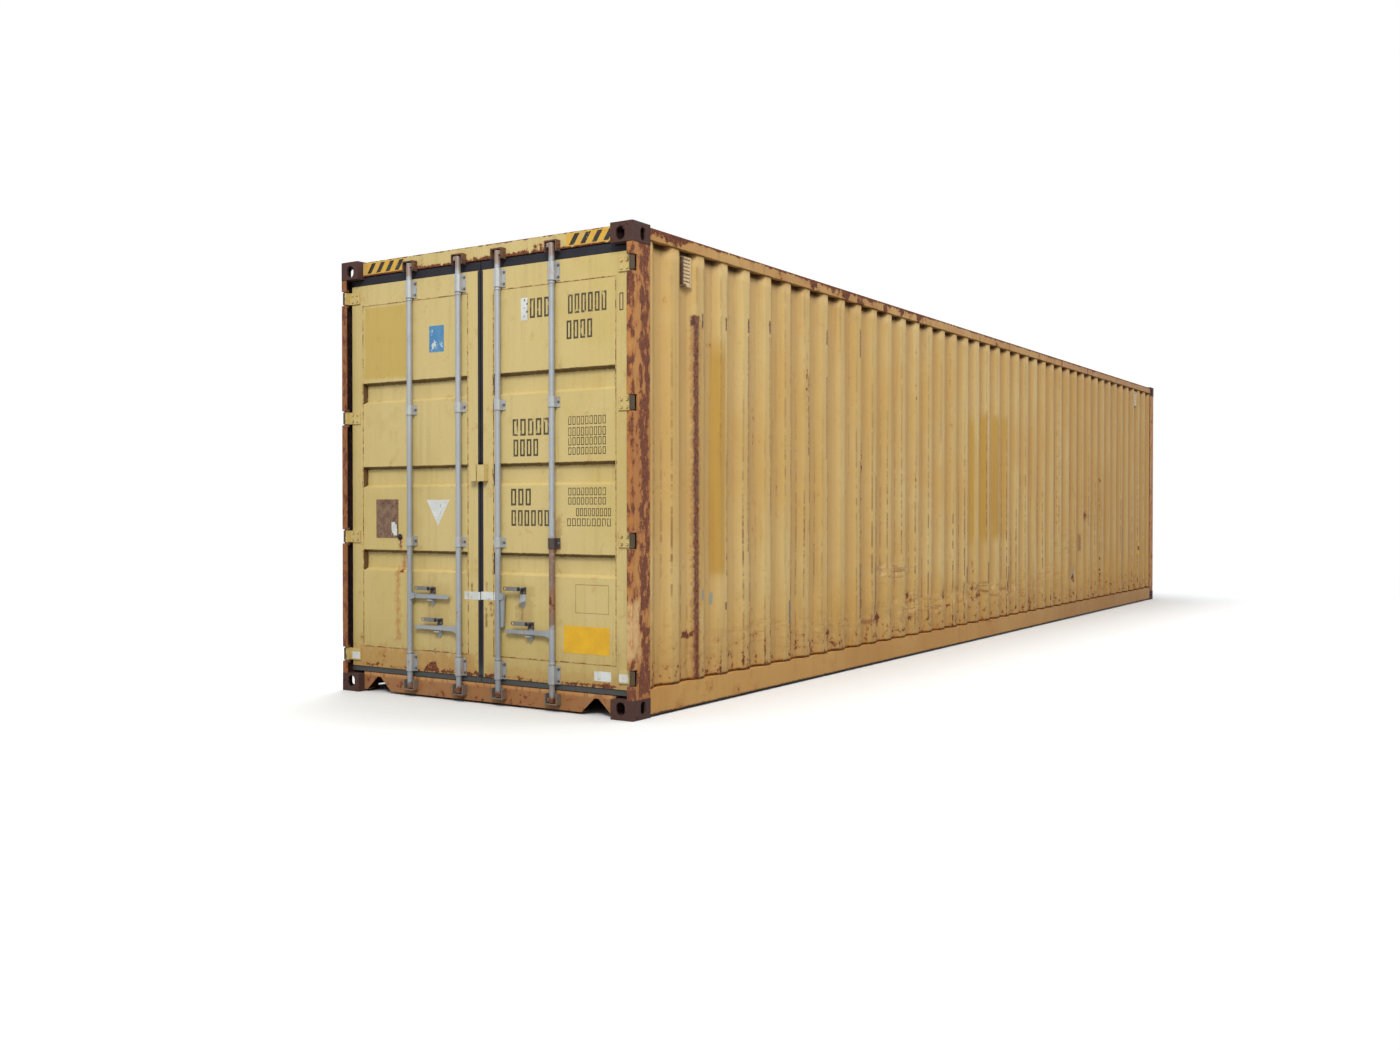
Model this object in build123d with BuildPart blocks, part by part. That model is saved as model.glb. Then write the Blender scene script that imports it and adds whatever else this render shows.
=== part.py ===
from build123d import *
import math
import os

os.makedirs("parts", exist_ok=True)

# A forty foot high-cube container. X runs along its length, the doors are at the low X end,
# Y runs across and Z is up. The origin is on the ground, at the middle of the base.

# Overall box, set by the corner castings
length = 12192
width = 2438
height = 2896
door_end = -length / 2
front_end = length / 2

# Corner castings
casting_length = 178
casting_width = 162
casting_height = 118
slot_from_end = 103.5
slot_from_side = 89.5
slot_length = 124.5
slot_width = 63.5
end_hole_width = 63.5
side_hole_width = 51
wall_hole_height = 79.5
wall_hole_z = 66
slot_wall = 28
outer_wall = 13
inner_wall = 11
casting_chamfer = 6

# How far skins and rails stand inside the planes of the castings
side_inset = 3
rail_lift = 14
roof_inset = 14

# Small rounds, and the ends of the holes in the castings' walls, are made with this many sides
round_sides = 8
hole_sides = 12

# Corner posts
post_wall = 8
post_side_length = 178
post_front_width = 43
post_front_inset = 4
post_channel_depth = 117
post_stop_width = 89
post_return = 60
front_post_wall = 6
front_post_inset = 4
front_post_width = 99

# Side rails
top_rail_height = 70
top_rail_width = 60
top_rail_wall = 4
bottom_rail_top = 166
bottom_rail_wall = 4.5
bottom_rail_flange = 50
bottom_rail_foot = 30

# Pressed side walls
trough_pitch = 282
trough_depth = 36
outer_flat = 74
inner_flat = 72
wall_end_flat = 20
wall_sheet = 2
wall_inset = 8

# Front wall
front_trough_pitch = 250
front_trough_depth = 36
front_outer_flat = 110
front_inner_flat = 70
front_wall_inset = 10
front_header_depth = 110
front_beam_wall = 5

# Roof
roof_sheet = 2
roof_swage_rise = 18
roof_swage_pitch = 209
roof_end_flat = 200
roof_swage_width = 150
roof_swage_margin = 90
roof_swage_taper = 55

# Floor
floor_thickness = 28
floor_top = 170
cross_member_pitch = 407
cross_member_flange = 45
cross_member_wall = 4
tunnel_width = 1029
tunnel_length = 3150
tunnel_wall = 4

# Door header and sill
header_face = 50
header_bottom = height - 99
header_top = height - 6
header_depth = 128
beam_wall = 6
sill_top = 130
sill_step = 62
sill_depth = 150
notch_inset = 141
notch_base = 226
notch_crown = 32
notch_top = 104

# Doors
door_face = 50
door_thickness = 50
door_top = height - 162
door_bottom = 170
door_side = width / 2 - 54
seam_half = 16
door_rail = 137
outer_stile = 104
inner_stile = 92
panel_sheet = 3
recess_depth = 36
recess_slope = 18
recess_bands = [(819, 959), (1375, 1514), (1937, 2077)]
gasket_face = 56
gasket_depth = 30
gasket_side = width / 2 - 47
gasket_seam = 4
gasket_top = height - 106
gasket_bottom = 135
gasket_casting_gap = 6

# Hinges
pin_y = width / 2 - 20
pin_depth = 20
pin_radius = 8
pin_clearance = 0.9
knuckle_radius = 16
hinge_low = 247
hinge_high = height - 241
hinge_shares = [0, 0.3314, 0.664, 1]
blade_height = 80
blade_wall = 8
blade_reach = width / 2 - 134
window_height = 96
window_depth = 48
lug_gap = 5
lug_thickness = 14
lug_depth = 26

# Lock bars
bar_axis_depth = 24
bar_radius = 18
outer_bar_y = 599
inner_bar_y = 166
bar_bottom = 60
bar_top = height - 61
cam_height = 26
cam_reach = 31
cam_width = 24
guide_heights = [225, 1022, 1878, height - 231]
guide_tall = 112
guide_short = 64
guide_wall = 5
guide_clearance = 0.5
guide_flange = 90
guide_plate = 6
keeper_gap = 8
keeper_wall = 8
keeper_front = 8
keeper_length = 60
keeper_end_gap = 7

# Handles and hubs
hub_heights = [664, 463, 685, 473]
handle_reaches = [350, 385, 190, 370]
hub_reach = 52
hub_offset = 38
hub_root = 62
hub_tip = 26
hub_wall = 5
hub_pin_radius = 5
handle_thickness = 12
handle_root = 30
handle_tip = 22
handle_gap = 1

# Handle retainers and hasps
retainer_offset = 185
retainer_width = 44
retainer_plate = 6
retainer_rise = 64
retainer_drop = 68
shelf_gap = 5
shelf_thickness = 8
shelf_front = 14
knob_radius = 9
knob_rise = 53
hasp_front = 3
hasp_thickness = 5
hasp_length = 112
hasp_width = 26
hasp_eye = 9
hasp_pin_radius = 4
hasp_gap = 1

# Box over the seam
cover_low = 1405
cover_high = 1509
cover_left = 64
cover_right = 53
cover_depth = 40
cover_wall = 4

# Ventilators
vent_width = 105
vent_height = 188
vent_centre_z = height - 208
vent_depth = 28
vent_first_index = 1
vent_last_index = -3

# Places worked out from the sizes above
half_width = width / 2
casting_inner = half_width - casting_width
skin_y = half_width - side_inset
post_low = casting_height
post_high = height - casting_height
rail_length = length - 2 * casting_length
top_rail_top = height - roof_inset
top_rail_low = top_rail_top - top_rail_height
roof_z = top_rail_top - roof_swage_rise
roof_half = skin_y - top_rail_width
wall_outer = skin_y - wall_inset
wall_half = length / 2 - post_side_length
trough_count = int((2 * wall_half + outer_flat - 2 * wall_end_flat) / trough_pitch)
roof_swage_count = int((rail_length - 2 * roof_end_flat) / roof_swage_pitch)
cross_member_count = int(rail_length / cross_member_pitch)
notch_centre = casting_inner - notch_inset
hinge_heights = [hinge_low + share * (hinge_high - hinge_low) for share in hinge_shares]
floor_low = floor_top - floor_thickness
beam_half = casting_inner
stop_depth = post_channel_depth - post_wall
seat_y = skin_y - post_front_width


def folded(points, thickness):
    """Outline of a bent plate: the given line and a second one to its left, one thickness off."""
    directions = []
    for start, end in zip(points, points[1:]):
        run = math.dist(start, end)
        directions.append(((end[0] - start[0]) / run, (end[1] - start[1]) / run))
    inner = []
    for index, point in enumerate(points):
        before = directions[max(index - 1, 0)]
        after = directions[min(index, len(directions) - 1)]
        normal = (-before[1] - after[1], before[0] + after[0])
        scale = thickness / (1 + before[0] * after[0] + before[1] * after[1])
        inner.append((point[0] + normal[0] * scale, point[1] + normal[1] * scale))
    return points + inner[::-1]


def corrugation(pitch, count, depth, outer, inner, half_run):
    """Line of a pressed sheet: flats at height zero with troughs that drop by depth."""
    slope = (pitch - outer - inner) / 2
    points = [(-half_run, 0)]
    for index in range(count):
        centre = (index - (count - 1) / 2) * pitch
        points += [
            (centre - inner / 2 - slope, 0),
            (centre - inner / 2, -depth),
            (centre + inner / 2, -depth),
            (centre + inner / 2 + slope, 0),
        ]
    return points + [(half_run, 0)]


def disc(radius, sides=round_sides, mode=Mode.ADD):
    """A round of few sides that is at least as large as the circle."""
    RegularPolygon(radius, sides, major_radius=False, rotation=180 / sides, mode=mode)


def oblong(x, y, size_x, size_y):
    """A slot whose ends are rounds of few sides."""
    half_x = (size_x - min(size_x, size_y)) / 2
    half_y = (size_y - min(size_x, size_y)) / 2
    with Locations((x - half_x, y - half_y), (x + half_x, y + half_y)):
        disc(min(size_x, size_y) / 2, hole_sides)
    make_hull()


def keep(piece, name):
    piece.part.label = name
    export_step(piece.part, "parts/" + name + ".step")


def keep_mirrored(piece, name, about):
    with BuildPart() as twin:
        mirror(piece.part, about=about)
    keep(twin, name)


# Corner castings: hollow blocks with a slot underneath and a hole in each outer wall
with BuildPart() as casting:
    with BuildSketch(Plane.XY):
        Rectangle(casting_length, casting_width, align=Align.MIN)
    extrude(amount=casting_height)
    chamfer(casting.edges().filter_by(Axis.Z).group_by(Axis.X)[0].group_by(Axis.Y)[0], casting_chamfer)
    with BuildSketch(Plane.XY.offset(slot_wall)):
        with Locations((outer_wall, outer_wall)):
            Rectangle(
                casting_length - outer_wall - inner_wall,
                casting_width - outer_wall - inner_wall,
                align=Align.MIN,
            )
    extrude(amount=casting_height - slot_wall - inner_wall, mode=Mode.SUBTRACT)
    with BuildSketch(Plane.XY):
        with Locations((slot_from_end, slot_from_side)):
            SlotOverall(slot_length, slot_width)
    extrude(amount=slot_wall, mode=Mode.SUBTRACT)
    with BuildSketch(Plane.YZ):
        oblong(slot_from_side, wall_hole_z, end_hole_width, wall_hole_height)
    extrude(amount=outer_wall, mode=Mode.SUBTRACT)
    with BuildSketch(Plane.XZ.offset(-outer_wall)):
        oblong(slot_from_end, wall_hole_z, side_hole_width, wall_hole_height)
    extrude(amount=outer_wall, mode=Mode.SUBTRACT)

for end_name, at_door in [("door", True), ("front", False)]:
    for level_name, at_base in [("bottom", True), ("top", False)]:
        for side_name, at_right in [("right", True), ("left", False)]:
            with BuildPart() as corner:
                add(casting.part.moved(Location((door_end, -half_width, 0))))
                if not at_base:
                    mirror(about=Plane.XY.offset(height / 2), mode=Mode.REPLACE)
                if not at_door:
                    mirror(about=Plane.YZ, mode=Mode.REPLACE)
                if not at_right:
                    mirror(about=Plane.XZ, mode=Mode.REPLACE)
            keep(corner, "casting_" + level_name + "_" + end_name + "_" + side_name)

# Door posts: a hot rolled channel whose front flange is notched at the hinges, and the
# inner plate that the door gasket closes against
stop_inner = skin_y - post_stop_width
with BuildPart() as post:
    with BuildSketch(Plane.XY.offset(post_low)):
        with BuildLine():
            Polyline(
                *folded(
                    [
                        (door_end + post_front_inset, seat_y),
                        (door_end + post_front_inset, skin_y),
                        (door_end + post_side_length, skin_y),
                    ],
                    -post_wall,
                ),
                close=True,
            )
        make_face()
        with BuildLine():
            Polyline(
                *folded(
                    [
                        (door_end + stop_depth, skin_y - post_wall),
                        (door_end + stop_depth, stop_inner),
                        (door_end + stop_depth + post_return, stop_inner),
                    ],
                    post_wall,
                ),
                close=True,
            )
        make_face()
    extrude(amount=post_high - post_low)
    for hinge_z in hinge_heights:
        with BuildSketch(Plane.XY.offset(hinge_z - window_height / 2)):
            with Locations((door_end, seat_y)):
                Rectangle(window_depth, post_front_width, align=Align.MIN)
        extrude(amount=window_height, mode=Mode.SUBTRACT)
keep(post, "door_post_left")
keep_mirrored(post, "door_post_right", Plane.XZ)

# Posts at the blind end: one folded plate each
front_post_edge = skin_y - front_post_width
front_outer = front_end - front_wall_inset
front_inner = front_outer - front_trough_depth - wall_sheet
with BuildPart() as front_post:
    with BuildSketch(Plane.XY.offset(post_low)):
        with BuildLine():
            Polyline(
                *folded(
                    [
                        (front_end - post_side_length, skin_y),
                        (front_end - front_post_inset, skin_y),
                        (front_end - front_post_inset, front_post_edge),
                        (front_inner, front_post_edge),
                    ],
                    -front_post_wall,
                ),
                close=True,
            )
        make_face()
    extrude(amount=post_high - post_low)
keep(front_post, "front_post_left")
keep_mirrored(front_post, "front_post_right", Plane.XZ)

# Top rails: square tubes between the top castings
with BuildPart() as top_rail:
    with BuildSketch(Plane.YZ.offset(-rail_length / 2)):
        with Locations((skin_y, top_rail_low)):
            Rectangle(top_rail_width, top_rail_height, align=(Align.MAX, Align.MIN))
        with Locations((skin_y - top_rail_wall, top_rail_low + top_rail_wall)):
            Rectangle(
                top_rail_width - 2 * top_rail_wall,
                top_rail_height - 2 * top_rail_wall,
                align=(Align.MAX, Align.MIN),
                mode=Mode.SUBTRACT,
            )
    extrude(amount=rail_length)
keep(top_rail, "top_rail_left")
keep_mirrored(top_rail, "top_rail_right", Plane.XZ)

# Bottom rails: folded channels, open inwards
with BuildPart() as bottom_rail:
    with BuildSketch(Plane.YZ.offset(-rail_length / 2)):
        with BuildLine():
            Polyline(
                *folded(
                    [
                        (skin_y - bottom_rail_foot, rail_lift),
                        (skin_y, rail_lift),
                        (skin_y, bottom_rail_top),
                        (skin_y - bottom_rail_flange, bottom_rail_top),
                    ],
                    bottom_rail_wall,
                ),
                close=True,
            )
        make_face()
    extrude(amount=rail_length)
keep(bottom_rail, "bottom_rail_left")
keep_mirrored(bottom_rail, "bottom_rail_right", Plane.XZ)

# Side walls: pressed sheet from rail to rail and from post to post
wall_line = corrugation(trough_pitch, trough_count, trough_depth, outer_flat, inner_flat, wall_half)
with BuildPart() as side_wall:
    with BuildSketch(Plane.XY.offset(bottom_rail_top)):
        with BuildLine():
            Polyline(*folded([(x, wall_outer + y) for x, y in wall_line], -wall_sheet), close=True)
        make_face()
    extrude(amount=top_rail_low - bottom_rail_top)
keep(side_wall, "side_wall_left")
keep_mirrored(side_wall, "side_wall_right", Plane.XZ)

# Front wall: pressed sheet between the two front posts
front_trough_count = int(2 * front_post_edge / front_trough_pitch)
front_line = corrugation(
    front_trough_pitch,
    front_trough_count,
    front_trough_depth,
    front_outer_flat,
    front_inner_flat,
    front_post_edge,
)
with BuildPart() as front_wall:
    with BuildSketch(Plane.XY.offset(post_low)):
        with BuildLine():
            Polyline(*folded([(front_outer + x, y) for y, x in front_line], wall_sheet), close=True)
        make_face()
    extrude(amount=post_high - post_low)
keep(front_wall, "front_wall")

# Beams of the blind end, between the castings
with BuildPart() as front_header:
    with BuildSketch(Plane.XZ.offset(-beam_half)):
        with BuildLine():
            Polyline(
                *folded(
                    [
                        (front_end - front_header_depth, post_high),
                        (front_end - front_post_inset, post_high),
                        (front_end - front_post_inset, top_rail_top),
                        (front_end - casting_length, top_rail_top),
                        (front_end - casting_length, roof_z),
                    ],
                    front_beam_wall,
                ),
                close=True,
            )
        make_face()
    extrude(amount=2 * beam_half)
keep(front_header, "front_header")

with BuildPart() as front_sill:
    with BuildSketch(Plane.XZ.offset(-beam_half)):
        with BuildLine():
            Polyline(
                *folded(
                    [
                        (front_end - casting_length, rail_lift),
                        (front_end - front_post_inset, rail_lift),
                        (front_end - front_post_inset, post_low),
                        (front_end - casting_length, post_low),
                    ],
                    front_beam_wall,
                ),
                close=True,
            )
        make_face()
    extrude(amount=2 * beam_half)
    with BuildSketch(Plane.YZ.offset(front_end - casting_length)):
        with Locations((0, rail_lift)):
            Rectangle(tunnel_width, post_low - rail_lift, align=(Align.CENTER, Align.MIN))
    extrude(amount=casting_length, mode=Mode.SUBTRACT)
keep(front_sill, "front_sill")

# Door header: a closed box beam behind the lock bars
with BuildPart() as header:
    with BuildSketch(Plane.XZ.offset(-beam_half)):
        with Locations((door_end + header_face, header_bottom)):
            Rectangle(header_depth, header_top - header_bottom, align=Align.MIN)
        with Locations((door_end + header_face + beam_wall, header_bottom + beam_wall)):
            Rectangle(
                header_depth - 2 * beam_wall,
                header_top - header_bottom - 2 * beam_wall,
                align=Align.MIN,
                mode=Mode.SUBTRACT,
            )
    extrude(amount=2 * beam_half)
keep(header, "door_header")

# Door sill: a folded plate that steps up to the floor, with two notches in its lower edge
sill_back = door_end + header_face + sill_depth
with BuildPart() as sill:
    with BuildSketch(Plane.XZ.offset(-beam_half)):
        with BuildLine():
            Polyline(
                *folded(
                    [
                        (door_end + header_face + sill_step, rail_lift),
                        (door_end + header_face, rail_lift),
                        (door_end + header_face, sill_top),
                        (door_end + header_face + sill_step, sill_top),
                        (door_end + header_face + sill_step, floor_top),
                        (sill_back, floor_top),
                        (sill_back, floor_low),
                    ],
                    -beam_wall,
                ),
                close=True,
            )
        make_face()
    extrude(amount=2 * beam_half)
    with BuildSketch(Plane.YZ.offset(door_end + header_face)):
        for centre in (-notch_centre, notch_centre):
            with BuildLine():
                Polyline(
                    (centre - notch_base / 2, rail_lift),
                    (centre - notch_crown / 2, notch_top),
                    (centre + notch_crown / 2, notch_top),
                    (centre + notch_base / 2, rail_lift),
                    close=True,
                )
            make_face()
    extrude(amount=sill_step, mode=Mode.SUBTRACT)
keep(sill, "door_sill")

# Roof: one sheet with a row of shallow swages pressed up across it
swage_length = 2 * (roof_half - roof_swage_margin)
with BuildPart() as roof:
    with BuildSketch(Plane.XY.offset(roof_z - roof_sheet)):
        Rectangle(rail_length, 2 * roof_half)
    extrude(amount=roof_sheet)
    with BuildSketch(Plane.XY.offset(roof_z)):
        with GridLocations(roof_swage_pitch, 0, roof_swage_count, 1):
            Rectangle(roof_swage_width, swage_length)
    extrude(amount=roof_swage_rise, taper=roof_swage_taper)
    with BuildSketch(Plane.XY.offset(roof_z - roof_sheet)):
        with GridLocations(roof_swage_pitch, 0, roof_swage_count, 1):
            Rectangle(roof_swage_width, swage_length)
    extrude(amount=roof_swage_rise, taper=roof_swage_taper, mode=Mode.SUBTRACT)
keep(roof, "roof_panel")

# Floor and the channels that carry it, which stop beside a tunnel at the blind end
floor_start = sill_back
floor_half = skin_y - bottom_rail_flange
with BuildPart() as floor:
    with BuildSketch(Plane.XY.offset(floor_low)):
        with Locations((floor_start, 0)):
            Rectangle(front_inner - floor_start, 2 * floor_half, align=(Align.MIN, Align.CENTER))
    extrude(amount=floor_thickness)
keep(floor, "floor_boards")

member_low = rail_lift + bottom_rail_wall
member_half = skin_y - bottom_rail_wall
tunnel_start = front_end - tunnel_length
member_places = [
    (index - (cross_member_count - 1) / 2) * cross_member_pitch for index in range(cross_member_count)
]
with BuildPart() as cross_members:
    with BuildSketch(Plane.XZ.offset(-member_half)):
        for web in member_places:
            with BuildLine():
                Polyline(
                    *folded(
                        [
                            (web + cross_member_flange, member_low),
                            (web, member_low),
                            (web, floor_low),
                            (web + cross_member_flange, floor_low),
                        ],
                        -cross_member_wall,
                    ),
                    close=True,
                )
            make_face()
    extrude(amount=2 * member_half)
    with BuildSketch(Plane.XY):
        with Locations((tunnel_start, 0)):
            Rectangle(tunnel_length, tunnel_width, align=(Align.MIN, Align.CENTER))
    extrude(amount=floor_low, mode=Mode.SUBTRACT)
keep(cross_members, "cross_members")

# The tunnel: a plate with bows on it, and an upright plate along each side
with BuildPart() as tunnel:
    with BuildSketch(Plane.XY.offset(post_low - tunnel_wall)):
        with Locations((tunnel_start, 0)):
            Rectangle(
                front_end - front_post_inset - tunnel_start,
                tunnel_width,
                align=(Align.MIN, Align.CENTER),
            )
    extrude(amount=tunnel_wall)
    with BuildSketch(Plane.XY.offset(post_low)):
        for web in member_places:
            if web > tunnel_start:
                with Locations((web, 0)):
                    Rectangle(cross_member_flange, tunnel_width, align=(Align.MIN, Align.CENTER))
    extrude(amount=floor_low - post_low)
keep(tunnel, "gooseneck_tunnel")

with BuildPart() as tunnel_side:
    with BuildSketch(Plane.XY.offset(rail_lift)):
        with Locations((tunnel_start, tunnel_width / 2)):
            Rectangle(tunnel_length - casting_length, tunnel_wall, align=(Align.MIN, Align.MAX))
    extrude(amount=post_low - tunnel_wall - rail_lift)
keep(tunnel_side, "tunnel_side_left")
keep_mirrored(tunnel_side, "tunnel_side_right", Plane.XZ)

# Doors. Each piece is made for the left door and mirrored to the right one.
leaf_inner_low = door_bottom + door_rail
leaf_inner_high = door_top - door_rail
with BuildPart() as door_frame:
    with BuildSketch(Plane.YZ.offset(door_end + door_face)):
        with Locations((seam_half, door_bottom)):
            Rectangle(door_side - seam_half, door_top - door_bottom, align=Align.MIN)
        with Locations((seam_half + inner_stile, leaf_inner_low)):
            Rectangle(
                door_side - outer_stile - seam_half - inner_stile,
                leaf_inner_high - leaf_inner_low,
                align=Align.MIN,
                mode=Mode.SUBTRACT,
            )
    extrude(amount=door_thickness)
keep(door_frame, "door_left_frame")
keep_mirrored(door_frame, "door_right_frame", Plane.XZ)

panel_front = door_end + door_face
panel_line = [(panel_front, leaf_inner_low)]
for low, high in recess_bands:
    panel_line += [
        (panel_front, low),
        (panel_front + recess_depth, low + recess_slope),
        (panel_front + recess_depth, high - recess_slope),
        (panel_front, high),
    ]
panel_line.append((panel_front, leaf_inner_high))
with BuildPart() as door_panel:
    with BuildSketch(Plane.XZ.offset(-(door_side - outer_stile))):
        with BuildLine():
            Polyline(*folded(panel_line, -panel_sheet), close=True)
        make_face()
    extrude(amount=door_side - outer_stile - seam_half - inner_stile)
keep(door_panel, "door_left_panel")
keep_mirrored(door_panel, "door_right_panel", Plane.XZ)

# The gasket runs round the leaf and steps down under the top casting
with BuildPart() as gasket:
    with BuildSketch(Plane.YZ.offset(door_end + gasket_face)):
        with BuildLine():
            Polyline(
                (gasket_seam, gasket_bottom),
                (gasket_side, gasket_bottom),
                (gasket_side, post_high - gasket_casting_gap),
                (casting_inner - gasket_casting_gap, post_high - gasket_casting_gap),
                (casting_inner - gasket_casting_gap, gasket_top),
                (gasket_seam, gasket_top),
                close=True,
            )
        make_face()
        with Locations((seam_half, door_bottom)):
            Rectangle(
                door_side - seam_half,
                door_top - door_bottom,
                align=Align.MIN,
                mode=Mode.SUBTRACT,
            )
    extrude(amount=gasket_depth)
keep(gasket, "door_left_gasket")
keep_mirrored(gasket, "door_right_gasket", Plane.XZ)

# Hinge blades: a knuckle on the pin, a neck and a flat plate on the face of the door
pin_x = door_end + pin_depth
with BuildPart() as blades:
    for hinge_z in hinge_heights:
        with BuildSketch(Plane.XY.offset(hinge_z - blade_height / 2)):
            with Locations((pin_x, pin_y)):
                disc(knuckle_radius)
            with BuildLine():
                Polyline(
                    (pin_x, pin_y),
                    (door_end + door_face, pin_y),
                    (door_end + door_face, blade_reach),
                    (door_end + door_face - blade_wall, blade_reach),
                    (door_end + door_face - blade_wall, pin_y - knuckle_radius),
                    (pin_x, pin_y - knuckle_radius),
                    close=True,
                )
            make_face()
            with Locations((pin_x, pin_y)):
                disc(pin_radius + pin_clearance, mode=Mode.SUBTRACT)
        extrude(amount=blade_height)
keep(blades, "door_left_hinges")
keep_mirrored(blades, "door_right_hinges", Plane.XZ)

# Hinge pins, each held by two lugs inside the channel of the post
lug_start = blade_height / 2 + lug_gap
pin_half = lug_start + lug_thickness
with BuildPart() as pins:
    for hinge_z in hinge_heights:
        with BuildSketch(Plane.XY.offset(hinge_z - pin_half)):
            with Locations((pin_x, pin_y)):
                disc(pin_radius)
        extrude(amount=2 * pin_half)
        for lug_z in (hinge_z - pin_half, hinge_z + lug_start):
            with BuildSketch(Plane.XY.offset(lug_z)):
                with Locations((door_end + post_front_inset + post_wall, skin_y - post_wall)):
                    Rectangle(lug_depth, lug_depth, align=(Align.MIN, Align.MAX))
            extrude(amount=lug_thickness)
    mirror(about=Plane.XZ)
keep(pins, "hinge_pins")

# Lock bars: a tube with a cam at each end and a fishtail hub for the handle
bar_x = door_end + bar_axis_depth
bar_turns = [-1, 1, -1, 1]
bar_lines = [outer_bar_y, inner_bar_y, -inner_bar_y, -outer_bar_y]
bar_places = list(zip(bar_turns, bar_lines, hub_heights, handle_reaches))

for number, (turn, bar_y, hub_z, reach) in enumerate(bar_places, 1):
    pivot_y = bar_y + turn * hub_offset
    with BuildPart() as lock_bar:
        with BuildSketch(Plane.XY.offset(bar_bottom)):
            with Locations((bar_x, bar_y)):
                Circle(bar_radius)
        extrude(amount=bar_top - bar_bottom)
        for cam_z in (bar_bottom, bar_top - cam_height):
            with BuildSketch(Plane.XY.offset(cam_z)):
                with Locations((bar_x, bar_y + turn * cam_reach / 2)):
                    Rectangle(cam_width, cam_reach)
            extrude(amount=cam_height)
        half_gap = handle_thickness / 2 + handle_gap
        for plate_x in (bar_x - half_gap - hub_wall, bar_x + half_gap):
            with BuildSketch(Plane.YZ.offset(plate_x)):
                with BuildLine():
                    Polyline(
                        (bar_y, hub_z - hub_root / 2),
                        (bar_y + turn * hub_reach, hub_z - hub_tip / 2),
                        (bar_y + turn * hub_reach, hub_z + hub_tip / 2),
                        (bar_y, hub_z + hub_root / 2),
                        close=True,
                    )
                make_face()
            extrude(amount=hub_wall)
        with BuildSketch(Plane.YZ.offset(bar_x - half_gap - hub_wall)):
            with Locations((pivot_y, hub_z)):
                disc(hub_pin_radius)
        extrude(amount=2 * (half_gap + hub_wall))
    keep(lock_bar, "lock_bar_" + str(number))

# Handles: flat forged levers that taper to the grip. The third one hangs straight down.
for number, (turn, bar_y, hub_z, reach) in enumerate(bar_places, 1):
    pivot = (bar_y + turn * hub_offset, hub_z)
    hanging = number == 3
    if hanging:
        tip = (pivot[0], hub_z - reach + handle_tip / 2)
    else:
        tip = (bar_y + turn * (reach - handle_tip / 2), hub_z)
    with BuildPart() as handle:
        with BuildSketch(Plane.YZ.offset(bar_x - handle_thickness / 2)):
            with Locations(pivot):
                disc(handle_root / 2)
            with Locations(tip):
                disc(handle_tip / 2)
            make_hull()
            with Locations(pivot):
                disc(hub_pin_radius + pin_clearance, mode=Mode.SUBTRACT)
        extrude(amount=handle_thickness)
    keep(handle, "handle_" + str(number))

# Keepers on header and sill: brackets with two cheeks that the cams sit between
keeper_half = cam_reach + keeper_gap
with BuildPart() as keepers:
    for bar_y in (outer_bar_y, inner_bar_y):
        for end_z, bridge in ((bar_top + keeper_end_gap, 1), (bar_bottom - keeper_end_gap, -1)):
            with BuildSketch(Plane.YZ.offset(door_end + keeper_front)):
                with BuildLine():
                    Polyline(
                        *folded(
                            [
                                (bar_y - keeper_half, end_z - bridge * keeper_length),
                                (bar_y - keeper_half, end_z),
                                (bar_y + keeper_half, end_z),
                                (bar_y + keeper_half, end_z - bridge * keeper_length),
                            ],
                            bridge * keeper_wall,
                        ),
                        close=True,
                    )
                make_face()
            extrude(amount=header_face - keeper_front)
    mirror(about=Plane.XZ)
keep(keepers, "cam_keepers")

# Guides that hold the bars to the doors
guide_radius = bar_radius + guide_clearance
guide_sizes = [guide_tall, guide_short, guide_short, guide_tall]
with BuildPart() as guides:
    for bar_y in (outer_bar_y, inner_bar_y):
        for guide_z, guide_height in zip(guide_heights, guide_sizes):
            with BuildSketch(Plane.XY.offset(guide_z - guide_height / 2)):
                with Locations((bar_x, bar_y)):
                    disc(guide_radius + guide_wall)
                with Locations((door_end + door_face, bar_y)):
                    Rectangle(
                        door_face - bar_axis_depth,
                        2 * (guide_radius + guide_wall),
                        align=(Align.MAX, Align.CENTER),
                    )
                    Rectangle(guide_plate, guide_flange, align=(Align.MAX, Align.CENTER))
                with Locations((bar_x, bar_y)):
                    disc(guide_radius, mode=Mode.SUBTRACT)
            extrude(amount=guide_height)
keep(guides, "door_left_bar_guides")
keep_mirrored(guides, "door_right_bar_guides", Plane.XZ)

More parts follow.
